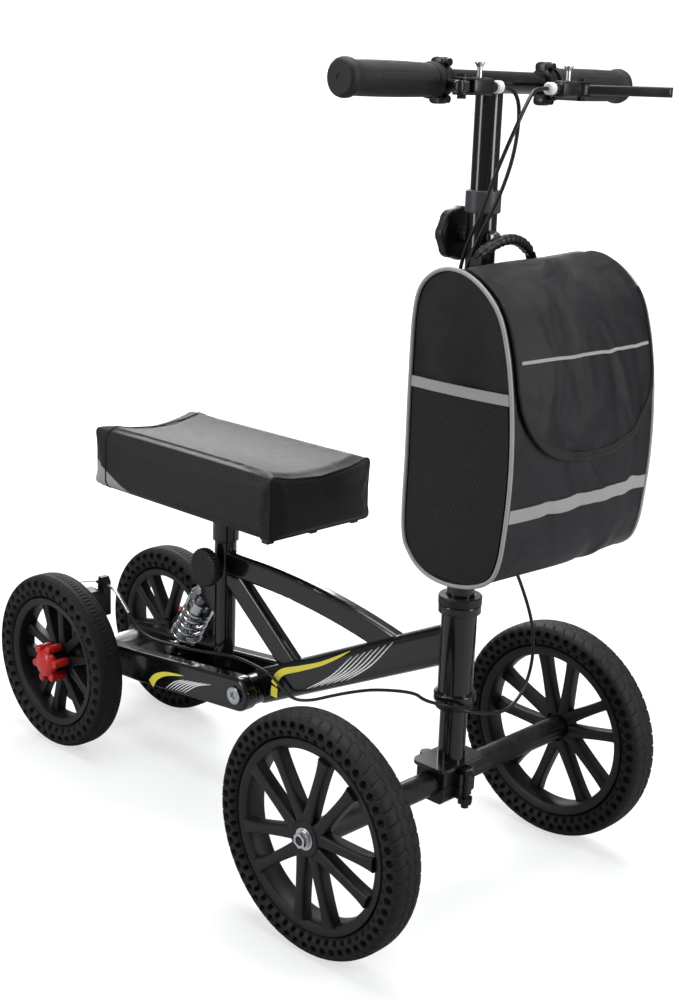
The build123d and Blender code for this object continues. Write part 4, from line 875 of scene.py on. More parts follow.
TILLER_X, TILLER_Z = 0.326, 0.846
neck = turned([(0.0, 0.0), (0.0100, 0.0), (0.0100, 0.0075), (0.0, 0.0075)], 40, (0, 0, -0.0115), axis="z",
              closed=False)
tiller_face = join(lobed_knob(0.0325, 0.0012, 7, 0.014, 0.0040, 0.0015, 0.6), neck)
keep("tiller_hand_knob", laid(tiller_face, (TILLER_X - 0.0388, 0, TILLER_Z), (-1, 0, 0)), black_plastic,
     "tiller_clamp_knob", ["tiller_knob"])
seat_face = join(lobed_knob(0.0285, 0.0006, 30, 0.014, 0.0045, 0.0012), neck)
keep("seat_hand_knob", laid(seat_face, (-0.117, -0.0372, 0.334), (0, -1, 0)), black_plastic,
     "seat_clamp_knob", ["seat_knob"])


def axle_star(side):
    """A domed middle with six rounded fingers that point towards the wheel."""
    dome = [(0.0, 0.1482), (0.008, 0.1480), (0.015, 0.1468), (0.0195, 0.1440), (0.0218, 0.1400),
            (0.0220, 0.1350), (0.0205, 0.1343), (0.0120, 0.1343), (0.0120, 0.1325), (0.0064, 0.1325),
            (0.0064, 0.1340), (0.0, 0.1340)]
    shapes = [turned(dome, 60, (0, 0, 0), closed=False)]
    finger = [(0.0, 0.1152), (0.0030, 0.1153), (0.0052, 0.1165), (0.0062, 0.1190), (0.0065, 0.1230),
              (0.0065, 0.1400), (0.0060, 0.1425), (0.0040, 0.1437), (0.0, 0.1440)]
    for index in range(6):
        angle = math.radians(60 * index + 12)
        shapes.append(turned(finger, 28, (0.025 * math.cos(angle), 0, 0.025 * math.sin(angle)), closed=False))
    points, faces = join(*shapes)
    return points * (1, side, 1) + (-0.372, 0, 0.1355), faces


keep("axle_star_right", axle_star(-1), red_plastic, "swing_arm", ["rear_axle_knobs"])
keep("axle_star_left", axle_star(1), red_plastic, "swing_arm", ["rear_axle_knobs"])

# %% [markdown]
# ## Brake cables
# A cable housing is a smooth flexible tube, so each one is a NURBS curve whose control points
# mark its route.

# %% Cable routes
RIGHT_LEVER = [(0.376, -0.042, 1.015), (0.376, -0.022, 1.015), (0.376, -0.008, 1.000), (0.375, -0.005, 0.974),
               (0.373, -0.008, 0.941), (0.366, -0.013, 0.908), (0.357, -0.020, 0.878), (0.345, -0.028, 0.847),
               (0.336, -0.034, 0.816), (0.325, -0.035, 0.784), (0.321, -0.025, 0.763), (0.321, -0.025, 0.740)]
LEFT_LEVER = [(0.376, 0.042, 1.015), (0.376, 0.020, 1.015), (0.384, -0.001, 1.003), (0.387, -0.020, 0.980),
              (0.382, -0.034, 0.948), (0.372, -0.043, 0.910), (0.361, -0.047, 0.872), (0.345, -0.049, 0.840),
              (0.333, -0.046, 0.802), (0.321, -0.034, 0.767), (0.321, -0.034, 0.740)]
STEERING = [(0.321, -0.029, 0.700), (0.321, -0.029, 0.664), (0.312, -0.022, 0.620), (0.302, 0.004, 0.570),
            (0.309, 0.028, 0.525), (0.324, 0.058, 0.480), (0.335, 0.088, 0.432), (0.340, 0.112, 0.385),
            (0.342, 0.134, 0.335), (0.344, 0.137, 0.288), (0.348, 0.118, 0.252), (0.355, 0.082, 0.237),
            (0.364, 0.040, 0.243), (0.366, 0.004, 0.254), (0.359, -0.024, 0.264), (0.338, -0.037, 0.268),
            (0.304, -0.033, 0.262), (0.270, -0.0131, 0.2568), (0.240, -0.012, 0.249)]
BEAM = [(0.240, -0.012, 0.249), (0.206, -0.01075, 0.24016), (0.166, -0.011, 0.225), (0.122, -0.012, 0.205),
        (0.082, -0.015, 0.185), (0.056, -0.024, 0.181), (0.034, -0.027, 0.194), (0.012, -0.027, 0.207),
        (-0.016, -0.027, 0.209)]
ARM = [(-0.016, -0.027, 0.209), (-0.058, -0.027, 0.212), (-0.102, -0.032, 0.205), (-0.146, -0.038, 0.199),
       (-0.190, -0.043, 0.196), (-0.230, -0.048, 0.194), (-0.258, -0.050, 0.20275), (-0.280, -0.050, 0.222)]


CABLE_RADIUS = 0.00225


def cable_mesh(name, points, radius=CABLE_RADIUS):
    """A NURBS tube through a route's control points, as a mesh with closed ends."""
    curve = bpy.data.curves.new(name, "CURVE")
    curve.dimensions = "3D"
    curve.bevel_depth = radius
    curve.bevel_resolution = 4
    curve.use_fill_caps = True
    curve.resolution_u = 8
    spline = curve.splines.new("NURBS")
    spline.points.add(len(points) - 1)
    spline.points.foreach_set("co", np.c_[np.asarray(points), np.ones(len(points))].ravel())
    spline.order_u = 3
    spline.use_endpoint_u = True
    holder = bpy.data.objects.new(name + "_route", curve)
    bpy.context.collection.objects.link(holder)
    mesh = bpy.data.meshes.new_from_object(holder.evaluated_get(bpy.context.evaluated_depsgraph_get()))
    bpy.data.objects.remove(holder)
    bpy.data.curves.remove(curve)
    piece = bpy.data.objects.new(name, mesh)
    bpy.context.collection.objects.link(piece)
    mesh.materials.clear()
    mesh.materials.append(cable_jacket)
    mesh.shade_smooth()
    return piece


# %% Cables in place
for name, route in (("right_lever_cable", RIGHT_LEVER), ("left_lever_cable", LEFT_LEVER)):
    piece = cable_mesh(name, route)
    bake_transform(piece)
    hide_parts("lever_cables")
joiner = rounded_section(0.012, 0.019, 4.0, 32)
joiner_rise = np.array([0.6995, 0.7005, 0.703, 0.737, 0.7395, 0.7405])
joiner_size = np.array([0.75, 0.92, 1.0, 1.0, 0.92, 0.75])
joiner_path = np.stack([np.full(6, 0.321), np.full(6, -0.0295), joiner_rise], axis=-1)
keep("cable_joiner", carried(joiner_path, joiner[None] * joiner_size[:, None, None], (1, 0, 0)),
     black_plastic,
     "steering", ["lever_cables"])
piece = cable_mesh("steering_cable", STEERING)
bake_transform(piece)
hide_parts("steer_cable")
piece = cable_mesh("beam_cable_run", BEAM)
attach(piece, "frame")
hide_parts("beam_cable")
piece = cable_mesh("arm_cable_run", ARM)
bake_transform(piece)
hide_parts("arm_cable")
boot_rings = [(0.0, 0.0), (0.0032, 0.0), (0.0036, 0.001), (0.0036, 0.003), (0.0027, 0.004),
              (0.0034, 0.0055), (0.0026, 0.007), (0.0032, 0.0085), (0.0024, 0.010), (0.0030, 0.0115),
              (0.0022, 0.013), (0.0026, 0.0145), (0.0014, 0.0185), (0.0, 0.0187)]
boot_points, boot_faces = turned(boot_rings, 24, (0, 0, 0), axis="x", closed=False)
keep("wire_boot", (boot_points * (-1, 1, 1) + (-0.3435, -0.05, 0.252), boot_faces), solid_rubber, "swing_arm")
along = np.linspace(0, 1, 12)
wire_rise = 0.252 - 0.019 * along + 0.004 * along * (1 - along)
wire_path = np.stack([-0.362 - 0.059 * along, np.full(12, -0.050), wire_rise], axis=-1)
wire = keep("brake_wire", carried(wire_path, rounded_section(0.0016, 0.0016, 2.0, 10), (0, 1, 0)), zinc, None)
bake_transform(wire)

# %% [markdown]
# ## Knee cushion
# The cushion is a deep foam block with a shallow valley for the shin, in a sewn cover. It starts
# as a rounded block, |y|^p + |z|^p = 1 with a valley taken out of its top, and a short cloth
# simulation with a little pressure then swells it between its edges, as foam does in a cover.

# %% Cushion block
PAD_X, PAD_LENGTH, PAD_WIDTH, PAD_LOW, PAD_HEIGHT = -0.1137, 0.385, 0.1885, 0.4285, 0.089
VALLEY, VALLEY_HALF = 0.013, 0.086


def block_face(normal_axis, sign, half, radius):
    """One face of a rounded block: a flat grid, whose points move to a ball's surface near the edges.
    inner = clip(p, -(half - radius), half - radius), then p = inner + radius * (p - inner) / |p - inner|."""
    others = [axis for axis in range(3) if axis != normal_axis]
    spans = []
    for axis in others:
        middle = np.linspace(-(half[axis] - radius), half[axis] - radius, int(half[axis] / 0.002))
        bend = np.linspace(0, 1, 6)[1:] * radius
        spans.append(np.concatenate([-(half[axis] - radius) - bend[::-1], middle,
                                     half[axis] - radius + bend]))
    u, v = np.meshgrid(*spans, indexing="ij")
    points = np.empty(u.shape + (3,))
    points[..., others[0]], points[..., others[1]], points[..., normal_axis] = u, v, sign * half[normal_axis]
    inner = np.clip(points, -(half - radius), half - radius)
    away = points - inner
    points = inner + radius * away / np.linalg.norm(away, axis=-1, keepdims=True)
    return points.reshape(-1, 3), grid_faces(*u.shape)[:, ::sign].tolist()


def cushion_block(length, width, height, low, radius=0.007):
    """The block with its valley: z falls by VALLEY (1 - (y / VALLEY_HALF)^2), all of it at the top."""
    half = np.array([length, width, height]) / 2
    points, faces = join(*[block_face(axis, sign, half, radius) for axis in range(3) for sign in (-1, 1)])
    dip = VALLEY * np.clip(1 - (points[:, 1] / VALLEY_HALF) ** 2, 0, 1)
    points[:, 2] -= dip * (points[:, 2] + height / 2) / height
    return points + (PAD_X, 0, low + height / 2), faces


def swell(points, faces, pressure, cap, voxel=0.004):
    """Cloth simulation: remesh to even cells, blow up for 20 frames, cap each point's move."""
    mesh = bpy.data.meshes.new("cushion_start")
    mesh.from_pydata(points.tolist(), [], faces)
    work = bmesh.new()
    work.from_mesh(mesh)
    bmesh.ops.remove_doubles(work, verts=work.verts, dist=1e-5)
    bmesh.ops.recalc_face_normals(work, faces=work.faces)
    work.to_mesh(mesh)
    work.free()
    body = bpy.data.objects.new("cushion_start", mesh)
    bpy.context.collection.objects.link(body)
    remesh = body.modifiers.new("even", "REMESH")
    remesh.mode, remesh.voxel_size = "VOXEL", voxel
    even = bpy.data.meshes.new_from_object(body.evaluated_get(bpy.context.evaluated_depsgraph_get()))
    bpy.data.objects.remove(body)
    body = bpy.data.objects.new("cushion_cloth", even)
    bpy.context.collection.objects.link(body)
    start = np.empty(len(even.vertices) * 3)
    even.vertices.foreach_get("co", start)
    start = start.reshape(-1, 3)
    moved = start
    held = body.vertex_groups.new(name="held")
    held.add([int(i) for i in np.nonzero(start[:, 2] < PAD_LOW + 0.004)[0]], 1.0, "REPLACE")
    modifier = body.modifiers.new("cloth", "CLOTH")
    settings = modifier.settings
    settings.use_pressure, settings.uniform_pressure_force = True, pressure
    settings.effector_weights.gravity = 0
    settings.vertex_group_mass = "held"
    scene = bpy.context.scene
    for step in range(1, 21):
        scene.frame_set(step)
    done = body.evaluated_get(bpy.context.evaluated_depsgraph_get()).to_mesh()
    moved = np.empty(len(even.vertices) * 3)
    done.vertices.foreach_get("co", moved)
    moved = moved.reshape(-1, 3)
    scene.frame_set(1)
    shift = moved - start
    size = np.linalg.norm(shift, axis=1, keepdims=True)
    shift *= np.minimum(1, cap / np.maximum(size, 1e-9))
    quads = [list(polygon.vertices) for polygon in even.polygons]
    bpy.data.objects.remove(body)
    print("cushion moved at most", float(np.abs(shift).max()))
    return start + shift, quads


# %% Cushion cover material
pad_cover, pad_tree, pad_shader, pad_place, pad_bump, pad_varied = finish(
    "pad_cover", (0.008, 0.008, 0.0088), 0.46, vary=0.2, rough_vary=0.14, grain=(1100.0, 0.9),
    depth=0.00016, bump=0.5, dust=0.03)
pad_split = node(pad_tree, "SeparateXYZ", [(0, pad_place)])
pad_normal = node(pad_tree, "SeparateXYZ", [(0, node(pad_tree, "NewGeometry").outputs["Normal"])])
along_x = math_node(pad_tree, "SUBTRACT", pad_split.outputs["X"], PAD_X - PAD_LENGTH / 2)
above = math_node(pad_tree, "SUBTRACT", pad_split.outputs["Z"], PAD_LOW)
side_face = node(pad_tree, "MapRange", [("Value", math_node(pad_tree, "ABSOLUTE", pad_normal.outputs["Y"])),
                                        ("From Min", 0.55), ("From Max", 0.7)])
past_rear = math_node(pad_tree, "GREATER_THAN", along_x, 0.034)
corner_line = math_node(pad_tree, "ADD", math_node(pad_tree, "DIVIDE", along_x, 0.092),
                        math_node(pad_tree, "DIVIDE", above, 0.043))
not_grey = math_node(pad_tree, "GREATER_THAN", corner_line, 1.0)
twill_length = math_node(pad_tree, "MULTIPLY", past_rear, not_grey)
twill_area = math_node(pad_tree, "MULTIPLY", side_face.outputs[0], twill_length)
slope = math_node(pad_tree, "MULTIPLY_ADD", pad_split.outputs["Z"], 0.75, pad_split.outputs["X"])
ribs = math_node(pad_tree, "SINE", math_node(pad_tree, "MULTIPLY", slope, math.tau / 0.0052))
cross_phase = math_node(pad_tree, "MULTIPLY", pad_split.outputs["X"], math.tau / 0.0026)
steps_x = math_node(pad_tree, "SINE", cross_phase)
twill = math_node(pad_tree, "MULTIPLY_ADD", steps_x, 0.25, ribs)
grain_height = pad_bump.inputs["Height"].links[0].from_socket
mixed_height = node(pad_tree, "Mix", [("Factor", twill_area), (2, grain_height), (3, twill)],
                    data_type="FLOAT")
pad_tree.links.new(mixed_height.outputs[0], pad_bump.inputs["Height"])
pad_bump.inputs["Distance"].default_value = 0.00045
# The twill's colour follows the rib height, 0.35 to 1.9 times the base: painted highlight along each rib and
# painted shade between the ribs.
painted_rib_light = node(pad_tree, "MapRange", [("Value", twill), ("From Min", -0.4), ("From Max", 1.1),
                                        ("To Min", 0.35),
                                        ("To Max", 1.9)])
painted_rib_gain = node(pad_tree, "Mix", [("Factor", twill_area), (2, 1.0), (3, painted_rib_light.outputs[0])],
                data_type="FLOAT")
painted_rib_colour = node(pad_tree, "VectorMath", [(0, pad_varied.outputs["Color"])], operation="SCALE")
pad_tree.links.new(painted_rib_gain.outputs[0], painted_rib_colour.inputs["Scale"])
grey_area = math_node(pad_tree, "MULTIPLY", math_node(pad_tree, "SUBTRACT", 1.0, not_grey),
                      math_node(pad_tree, "GREATER_THAN", above, 0.003))
pad_colour = node(pad_tree, "Mix", [("Factor", grey_area), (6, painted_rib_colour.outputs[0]),
                                    (7, (0.30, 0.30, 0.31, 1))],
                  data_type="RGBA")
pad_tree.links.new(pad_colour.outputs[2], pad_shader.inputs["Base Color"])

# %% Cushion piece
start_points, start_faces = cushion_block(PAD_LENGTH + 0.001, PAD_WIDTH + 0.001, PAD_HEIGHT, PAD_LOW + 0.0003)
pad_points, pad_faces = swell(start_points, start_faces, 3.0, 0.0030)
pad_points[:, 2] = np.maximum(pad_points[:, 2], PAD_LOW + 0.0002)
cushion = keep("cushion", (pad_points, pad_faces), pad_cover, "seat", ["knee_pad"], sharp=180)
smoother = cushion.modifiers.new("smooth", "SUBSURF")
smoother.levels = smoother.render_levels = 1

# %% [markdown]
# ### Seams of the cushion
# Each seam is a thin welt that lies on the finished cushion: a path round the block is dropped
# onto its surface, so that it follows what the simulation did.

# %% Seams
cushion_tree = BVHTree.FromPolygons([Vector(p) for p in pad_points.tolist()], pad_faces)


def on_cushion(points, out=0.0004):
    """Each point's nearest place on the cushion, moved outwards a little."""
    found = [cushion_tree.find_nearest(Vector(p)) for p in points]
    return np.array([place + normal * out for place, normal, *_ in found])


def welt(name, points, radius, body="seat", material=edge_binding):
    """A thin tube along a loop of points."""
    points = np.asarray(points)
    along = np.roll(points, -1, axis=0) - np.roll(points, 1, axis=0)
    along /= np.linalg.norm(along, axis=1, keepdims=True)
    out = points - points.mean(axis=0)
    first = out - along * (out * along).sum(axis=1, keepdims=True)
    first /= np.linalg.norm(first, axis=1, keepdims=True)
    second = np.cross(along, first)
    ring = rounded_section(2 * radius, 2 * radius, 2.0, 10)
    grid = points[:, None] + ring[None, :, :1] * first[:, None] + ring[None, :, 1:] * second[:, None]
    faces = grid_faces(len(points), len(ring), True, True).tolist()
    return keep(name, (grid.reshape(-1, 3), faces), material, body, sharp=180)


def section_loop(x, count=220):
    """The cushion's outline at one X, as points to drop on its surface."""
    t = np.linspace(0, math.tau, count, endpoint=False)
    c, s = np.cos(t), np.sin(t)
    y = PAD_WIDTH / 2 * np.sign(c) * np.abs(c) ** 0.16
    z = PAD_LOW + PAD_HEIGHT / 2 + PAD_HEIGHT / 2 * np.sign(s) * np.abs(s) ** 0.16
    z = z - np.where(z > PAD_LOW + PAD_HEIGHT * 0.6, VALLEY * np.clip(1 - (y / VALLEY_HALF) ** 2, 0, 1), 0)
    return np.stack([np.full(count, x), y, z], axis=-1)


front_edge, rear_edge = PAD_X + PAD_LENGTH / 2, PAD_X - PAD_LENGTH / 2
welt("seam_rear_band", on_cushion(section_loop(rear_edge + 0.034)), 0.0011)
welt("seam_front", on_cushion(section_loop(front_edge - 0.0045)), 0.0013)

# %% [markdown]
# ## Bag
# The bag is a lofted shell. Its side view is a closed smooth curve; that curve is carried across
# the bag's width, shrinks over the last centimetre into each side panel, and domes a little. Slow
# noise gives the cloth its slack, most of it near the top where nothing fills it.

# %% Bag surface
# The side outline is in millimetres: forward of the front axle, and above the floor.
FRONT_AXLE_X = 0.319
BAG_SIDE = np.array([(25, 520), (25, 610), (25, 700), (27, 770), (37, 803), (62, 821), (92, 822),
                     (122, 808), (147, 782), (161, 745), (170, 700), (175, 650), (176, 600), (173, 550),
                     (168, 512), (157, 488), (132, 474), (95, 468), (62, 473), (38, 490)]) / 1000.0
BAG_SIDE[:, 0] += FRONT_AXLE_X
BAG_HALF = 0.1345
side_curve = smooth_loop(BAG_SIDE, 280)
bag_middle = side_curve.mean(axis=0)
edge_angle = np.arctan2(side_curve[:, 1] - bag_middle[1], side_curve[:, 0] - bag_middle[0])
edge_radius = np.hypot(*(side_curve - bag_middle).T)
angle_order = np.argsort(edge_angle)


def edge_distance(x, z):
    """Distance from the bag's middle to its side curve, in the direction of (x, z)."""
    angle = np.arctan2(z - bag_middle[1], x - bag_middle[0])
    return np.interp(angle, edge_angle[angle_order], edge_radius[angle_order], period=math.tau)


def bag_slack(points):
    """How far the cloth stands off its smooth shape: more near the top."""
    upper = smooth_step((points[..., 2] - 0.66) / 0.14)
    flat = points.reshape(-1, 3)
    noise = gentle_noise(flat, 4, 10, 18, 46).reshape(points.shape[:-1])
    broad = gentle_noise(flat, 9, 7, 8, 20).reshape(points.shape[:-1])
    return 0.0016 * noise * (0.5 + upper) + 0.0022 * broad * (0.4 + 0.8 * upper)


def bag_folds(points):
    """Long soft creases: a ridge exp(-(d / w)^2) along each slanting line, fading along its length."""
    draw = np.random.default_rng(21)
    total = np.zeros(points.shape[:-1])
    for _ in range(16):
        y0, z0 = draw.uniform(-0.11, 0.11), draw.uniform(0.50, 0.80)
        slant, width, length = draw.uniform(-0.9, 0.9), draw.uniform(0.006, 0.013), draw.uniform(0.04, 0.085)
        height = draw.uniform(-0.0030, 0.0034)
        dy, dz = points[..., 1] - y0, points[..., 2] - z0
        across = dy * math.cos(slant) + dz * math.sin(slant)
        along = dz * math.cos(slant) - dy * math.sin(slant)
        total += height * np.exp(-(across / width) ** 2 - (along / length) ** 2)
    return total


def front_swell(x, y):
    """The front face stands out in the middle: most at y = 0, none at the side seams."""
    ahead = smooth_step((x - (FRONT_AXLE_X + 0.10)) / 0.07)
    return 0.010 * ahead * np.clip(1 - (y / BAG_HALF) ** 2, 0, 1)


def over_bag(curve_points, y, out=0.0):
    """Points of the bag's wide face, from places on its side curve and across it, moved out."""
    centre = curve_points - bag_middle
    outwards = centre / np.linalg.norm(centre, axis=-1, keepdims=True)
    x = curve_points[..., 0] + front_swell(curve_points[..., 0], y)
    points = np.stack([x, y, curve_points[..., 1]], axis=-1)
    lift = (bag_slack(points) + bag_folds(points)) * np.clip((BAG_HALF - np.abs(y)) / 0.03, 0, 1) + out
    points[..., 0] += outwards[..., 0] * lift * (points[..., 0] > FRONT_AXLE_X + 0.03)
    points[..., 2] += outwards[..., 1] * lift
    return points


def side_panel_y(x, z):
    """How far out the side panel stands: domed, with slack."""
    k = np.hypot(x - bag_middle[0], z - bag_middle[1]) / edge_distance(x, z)
    points = np.stack([x, np.full_like(x, 0.13), z], axis=-1)
    dome = 0.004 * np.clip(1 - k ** 2, 0, 1)
    return BAG_HALF - 0.0035 + dome + 0.8 * bag_slack(points) * np.clip(1 - k, 0, 0.3) / 0.3


shrink = np.array([0.02, 0.15, 0.3, 0.45, 0.6, 0.72, 0.82, 0.9, 0.95, 0.975])
rows = []
for k in shrink:
    ring = bag_middle + (side_curve - bag_middle) * k
    rows.append(np.stack([ring[:, 0], -side_panel_y(ring[:, 0], ring[:, 1]), ring[:, 1]], axis=-1))
across = np.linspace(-BAG_HALF + 0.003, BAG_HALF - 0.003, 130)
wide = over_bag(np.repeat(side_curve[None], len(across), axis=0),
                np.repeat(across[:, None], len(side_curve), axis=1))
left_rows = [row * (1, -1, 1) for row in rows[::-1]]
bag_grid = np.concatenate([np.stack(rows), wide, np.stack(left_rows)])
bag_points, bag_faces = closed_grid(bag_grid)
run_u = np.linspace(0, 1.0, bag_grid.shape[1])[None, :] + np.zeros((bag_grid.shape[0], 1))
side_run = (1 - shrink) * 0.15 + BAG_HALF
run_v = np.concatenate([-side_run, across, side_run[::-1]])[:, None]
bag_uv = np.stack([run_u, run_v + 0 * run_u], axis=-1).reshape(-1, 2)
keep("bag_shell", (bag_points, bag_faces), bag_nylon, "steering", ["bag_body"], sharp=180, uv=bag_uv)


# %% [markdown]
# ### Piping, flap, tapes and pockets
# The parts sewn onto the bag are patches of the same surface, lifted off it by a millimetre or
# two and given an edge: grey piping round both sides, the flap with its bound edge, a grey tape
# across the front and a mesh pocket with a grey hem on each side.


# %% Patches
def patch(name, points, thick, material, uv):
    """A cloth patch: a grid of points and its copy moved inwards, closed round the edge."""
    rows, columns = points.shape[:2]
    across_rows, across_columns = np.gradient(points, axis=0), np.gradient(points, axis=1)
    normal = np.cross(across_rows, across_columns)
    normal /= np.maximum(np.linalg.norm(normal, axis=-1, keepdims=True), 1e-9)
    away = points - np.array([bag_middle[0], 0, bag_middle[1]])
    normal *= np.where((normal * away).sum(axis=-1, keepdims=True) < 0, -1, 1)
    both = np.concatenate([points.reshape(-1, 3), (points - normal * thick).reshape(-1, 3)])
    top = grid_faces(rows, columns)
    count = rows * columns
    index = np.arange(count).reshape(rows, columns)
    rim = np.concatenate([index[0], index[1:, -1], index[-1, -2::-1], index[-2:0:-1, 0]])
    nxt = np.roll(rim, -1)
    wall = np.stack([rim, nxt, nxt + count, rim + count], axis=-1)
    faces = np.concatenate([top, top[:, ::-1] + count, wall]).tolist()
    both_uv = np.concatenate([uv.reshape(-1, 2)] * 2)
    return keep(name, (both, faces), material, "steering", sharp=60, uv=both_uv)


top_index = int(np.argmax(side_curve[:, 1]))
bottom_index = int(np.argmin(side_curve[:, 1]))
front_branch = side_curve[top_index:bottom_index + 1]
rear_branch = np.concatenate([side_curve[bottom_index:], side_curve[:top_index + 1]])


def front_at(z):
    """Place on the front part of the side curve at a height."""
    x = np.interp(z, front_branch[::-1, 1], front_branch[::-1, 0])
    return np.stack([x, z], axis=-1)


def rear_x(z):
    """X of the rear part of the side curve at a height."""
    return np.interp(z, rear_branch[:, 1], rear_branch[:, 0])


for side, name in ((-1, "right"), (1, "left")):
    seam_y = np.full(len(side_curve), side * (BAG_HALF - 0.0012))
    ring = np.stack([side_curve[:, 0], seam_y, side_curve[:, 1]], axis=-1)
    welt("piping_" + name, ring, 0.0024, "steering", grey_tape)
    z = np.linspace(0.474, 0.6945, 70)[:, None]
    t = np.linspace(0.0, 1.0, 44)[None, :]
    low_x, high_x = rear_x(z) + 0.005, front_at(z)[..., 0] - 0.005
    x = low_x + (high_x - low_x) * t
    panel = np.stack([x, side * (side_panel_y(x, z + 0 * x) + 0.0022), z + 0 * x], axis=-1)
    flat_uv = np.stack([x, z + 0 * x], axis=-1)
    patch("mesh_pocket_" + name, panel, 0.0016, pocket_mesh, flat_uv)
    z = np.linspace(0.6870, 0.6990, 6)[:, None]
    low_x, high_x = rear_x(z) + 0.003, front_at(z)[..., 0] - 0.003
    x = low_x + (high_x - low_x) * t
    hem = np.stack([x, side * (side_panel_y(x, z + 0 * x) + 0.0032), z + 0 * x], axis=-1)
    patch("pocket_hem_" + name, hem, 0.0018, grey_tape, np.stack([x, z + 0 * x], axis=-1))

# %% Flap and front tape
FLAP_HALF, FLAP_LOW, FLAP_CORNER = 0.1255, 0.617, 0.700
y = np.linspace(-FLAP_HALF, FLAP_HALF, 80)[None, :]
lower = FLAP_CORNER - (FLAP_CORNER - FLAP_LOW) * np.clip(1 - np.abs(y / FLAP_HALF) ** 2.6, 0, 1) ** (1 / 2.0)
lower_s = np.interp(-lower, -front_branch[:, 1], np.arange(len(front_branch)))
start_s = 5.6
s = start_s + (lower_s - start_s) * np.linspace(0, 1, 90)[:, None]
index = np.arange(len(front_branch))
flap_curve = np.stack([np.interp(s, index, front_branch[:, k]) for k in (0, 1)], axis=-1)
flap_y = y + 0 * s
flap_points = over_bag(flap_curve, flap_y, 0.0042)
flap_uv = np.stack([s * 0.0032, flap_y], axis=-1)
patch("flap", flap_points, 0.0026, bag_nylon, flap_uv)


def strip_path(name, path, radius, material):
    """A thin round edging along an open path."""
    section = rounded_section(2 * radius, 2 * radius, 2.0, 10)
    return keep(name, carried(path, section, (0.3, 0.1, 1.0)), material, "steering", sharp=180)


edge_rows = np.concatenate([flap_points[40:-1, 0], flap_points[-1], flap_points[-2:39:-1, -1]])
strip_path("flap_binding", edge_rows, 0.0022, edge_binding)
band_s = lower_s - 2.4 * (1 - np.linspace(0, 1, 5)[:, None])
band_curve = np.stack([np.interp(band_s, index, front_branch[:, k]) for k in (0, 1)], axis=-1)
patch("flap_edge_band", over_bag(band_curve, flap_y[:5], 0.0054), 0.0010, edge_binding,
      np.stack([band_s * 0.0032, flap_y[:5]], axis=-1))

z = np.linspace(0.7255, 0.7290, 4)[:, None]
y = np.linspace(-0.119, 0.119, 60)[None, :]
patch("flap_line", over_bag(front_at(z + 0 * y), y + 0 * z, 0.0056), 0.0012, grey_tape,
      np.stack([y + 0 * z, z + 0 * y], axis=-1))
z = np.linspace(0.5570, 0.5725, 6)[:, None]
y = np.linspace(-0.1300, 0.1300, 70)[None, :]
patch("front_tape", over_bag(front_at(z + 0 * y), y + 0 * z, 0.0012), 0.0010, grey_tape,
      np.stack([y + 0 * z, z + 0 * y], axis=-1))

# %% [markdown]
# ### Handle and straps
# The carry handle is a ribbed grip on a webbing loop; two short straps hold the bag to the
# steering column behind it.

# %% Handle and straps
HANDLE_X, HANDLE_Z = 0.361, 0.838
t = np.linspace(-1, 1, 73)
path = np.stack([HANDLE_X + 0.006 * (1 - t ** 2), 0.050 * t, HANDLE_Z + 0.008 - 0.020 * t ** 2], axis=-1)
ribs = 0.0068 + 0.0008 * np.clip(np.sin(t * 40), 0, 1) - 0.0035 * np.abs(t) ** 12
sections = np.stack([rounded_section(2 * r, 1.7 * r, 2.6, 24) for r in ribs])
keep("handle_grip", carried(path, sections, (1, 0, 0)), black_plastic, "steering", ["bag_handle"])
for side, name in ((-1, "right"), (1, "left")):
    u = np.linspace(0, 1, 22)
    out = side * (0.049 + 0.003 * np.sin(u * math.pi))
    rise = np.stack([HANDLE_X + 0.004 * u, out, HANDLE_Z - 0.010 - 0.024 * u], axis=-1)
    keep("handle_web_" + name, carried(rise, rounded_section(0.016, 0.0022, 5.0, 20), (1, 0, 0)), webbing,
         "steering")
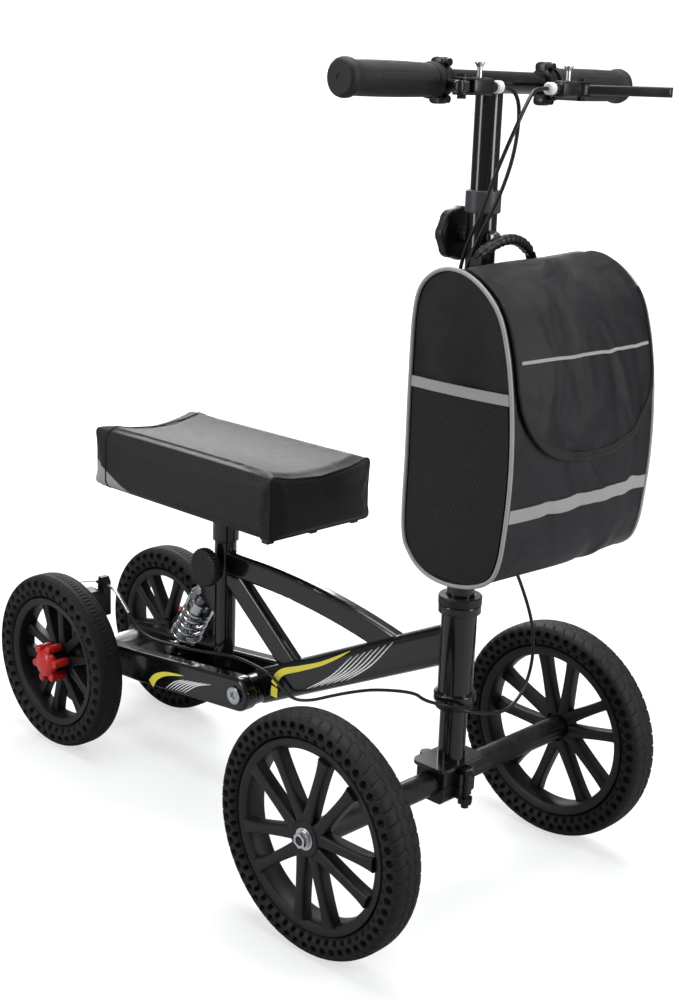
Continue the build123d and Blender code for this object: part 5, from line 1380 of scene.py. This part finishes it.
for height, name in ((0.545, "lower"), (0.765, "upper")):
    band = [(0.0177, -0.0125), (0.0192, -0.0125), (0.0195, -0.0115),
            (0.0195, 0.0115), (0.0192, 0.0125), (0.0177, 0.0125)]
    keep("column_strap_" + name, turned(band, 64, (TILLER_X, 0, height), axis="z"), webbing, "steering")

# %% [markdown]
# ## Pale floor
# The floor is a wide sheet that bends up far behind the object, so that there is no horizon. Its own
# colour is a mid grey, and the camera sees it lit up to white: glossy black paint mirrors the floor,
# and a floor that was white to the paint as well would turn every black tube grey.

# %% Floor
y, t = np.meshgrid(np.linspace(-9, 9, 3), np.linspace(0, 1, 40))
run = np.array([-1.0, 1.0]) / math.sqrt(2)
along = -7 + 12 * t
rise = np.where(along > 3, (along - 3) ** 2 * 0.9, 0)
floor_points = np.stack([run[0] * along + run[1] * y, run[1] * along - run[0] * y, rise - 0.0002], axis=-1)
mesh = bpy.data.meshes.new("floor")
mesh.from_pydata(floor_points.reshape(-1, 3).tolist(), [], grid_faces(40, 3).tolist())
floor = bpy.data.objects.new("floor", mesh)
bpy.context.collection.objects.link(floor)
floor_paint = bpy.data.materials.new("floor_paint")
floor_paint.use_nodes = True
floor_tree, floor_shader = floor_paint.node_tree, floor_paint.node_tree.nodes["Principled BSDF"]
floor_shader.inputs["Base Color"].default_value = (0.40, 0.41, 0.42, 1)
floor_shader.inputs["Roughness"].default_value = 0.8
from_middle = node(floor_tree, "VectorMath",
                   [(0, floor_tree.nodes.new("ShaderNodeTexCoord").outputs["Object"])],
                   operation="LENGTH").outputs["Value"]
glow = node(floor_tree, "MapRange", [("Value", from_middle), ("From Min", 0.8), ("From Max", 3.2),
                                     ("To Min", 0.60),
                                     ("To Max", 1.0)]).outputs[0]
seen = math_node(floor_tree, "MULTIPLY", glow,
                 floor_tree.nodes.new("ShaderNodeLightPath").outputs["Is Camera Ray"])
floor_tree.links.new(seen, floor_shader.inputs["Emission Color"])
floor_shader.inputs["Emission Strength"].default_value = 1.0
mesh.shade_smooth()
mesh.materials.append(floor_paint)
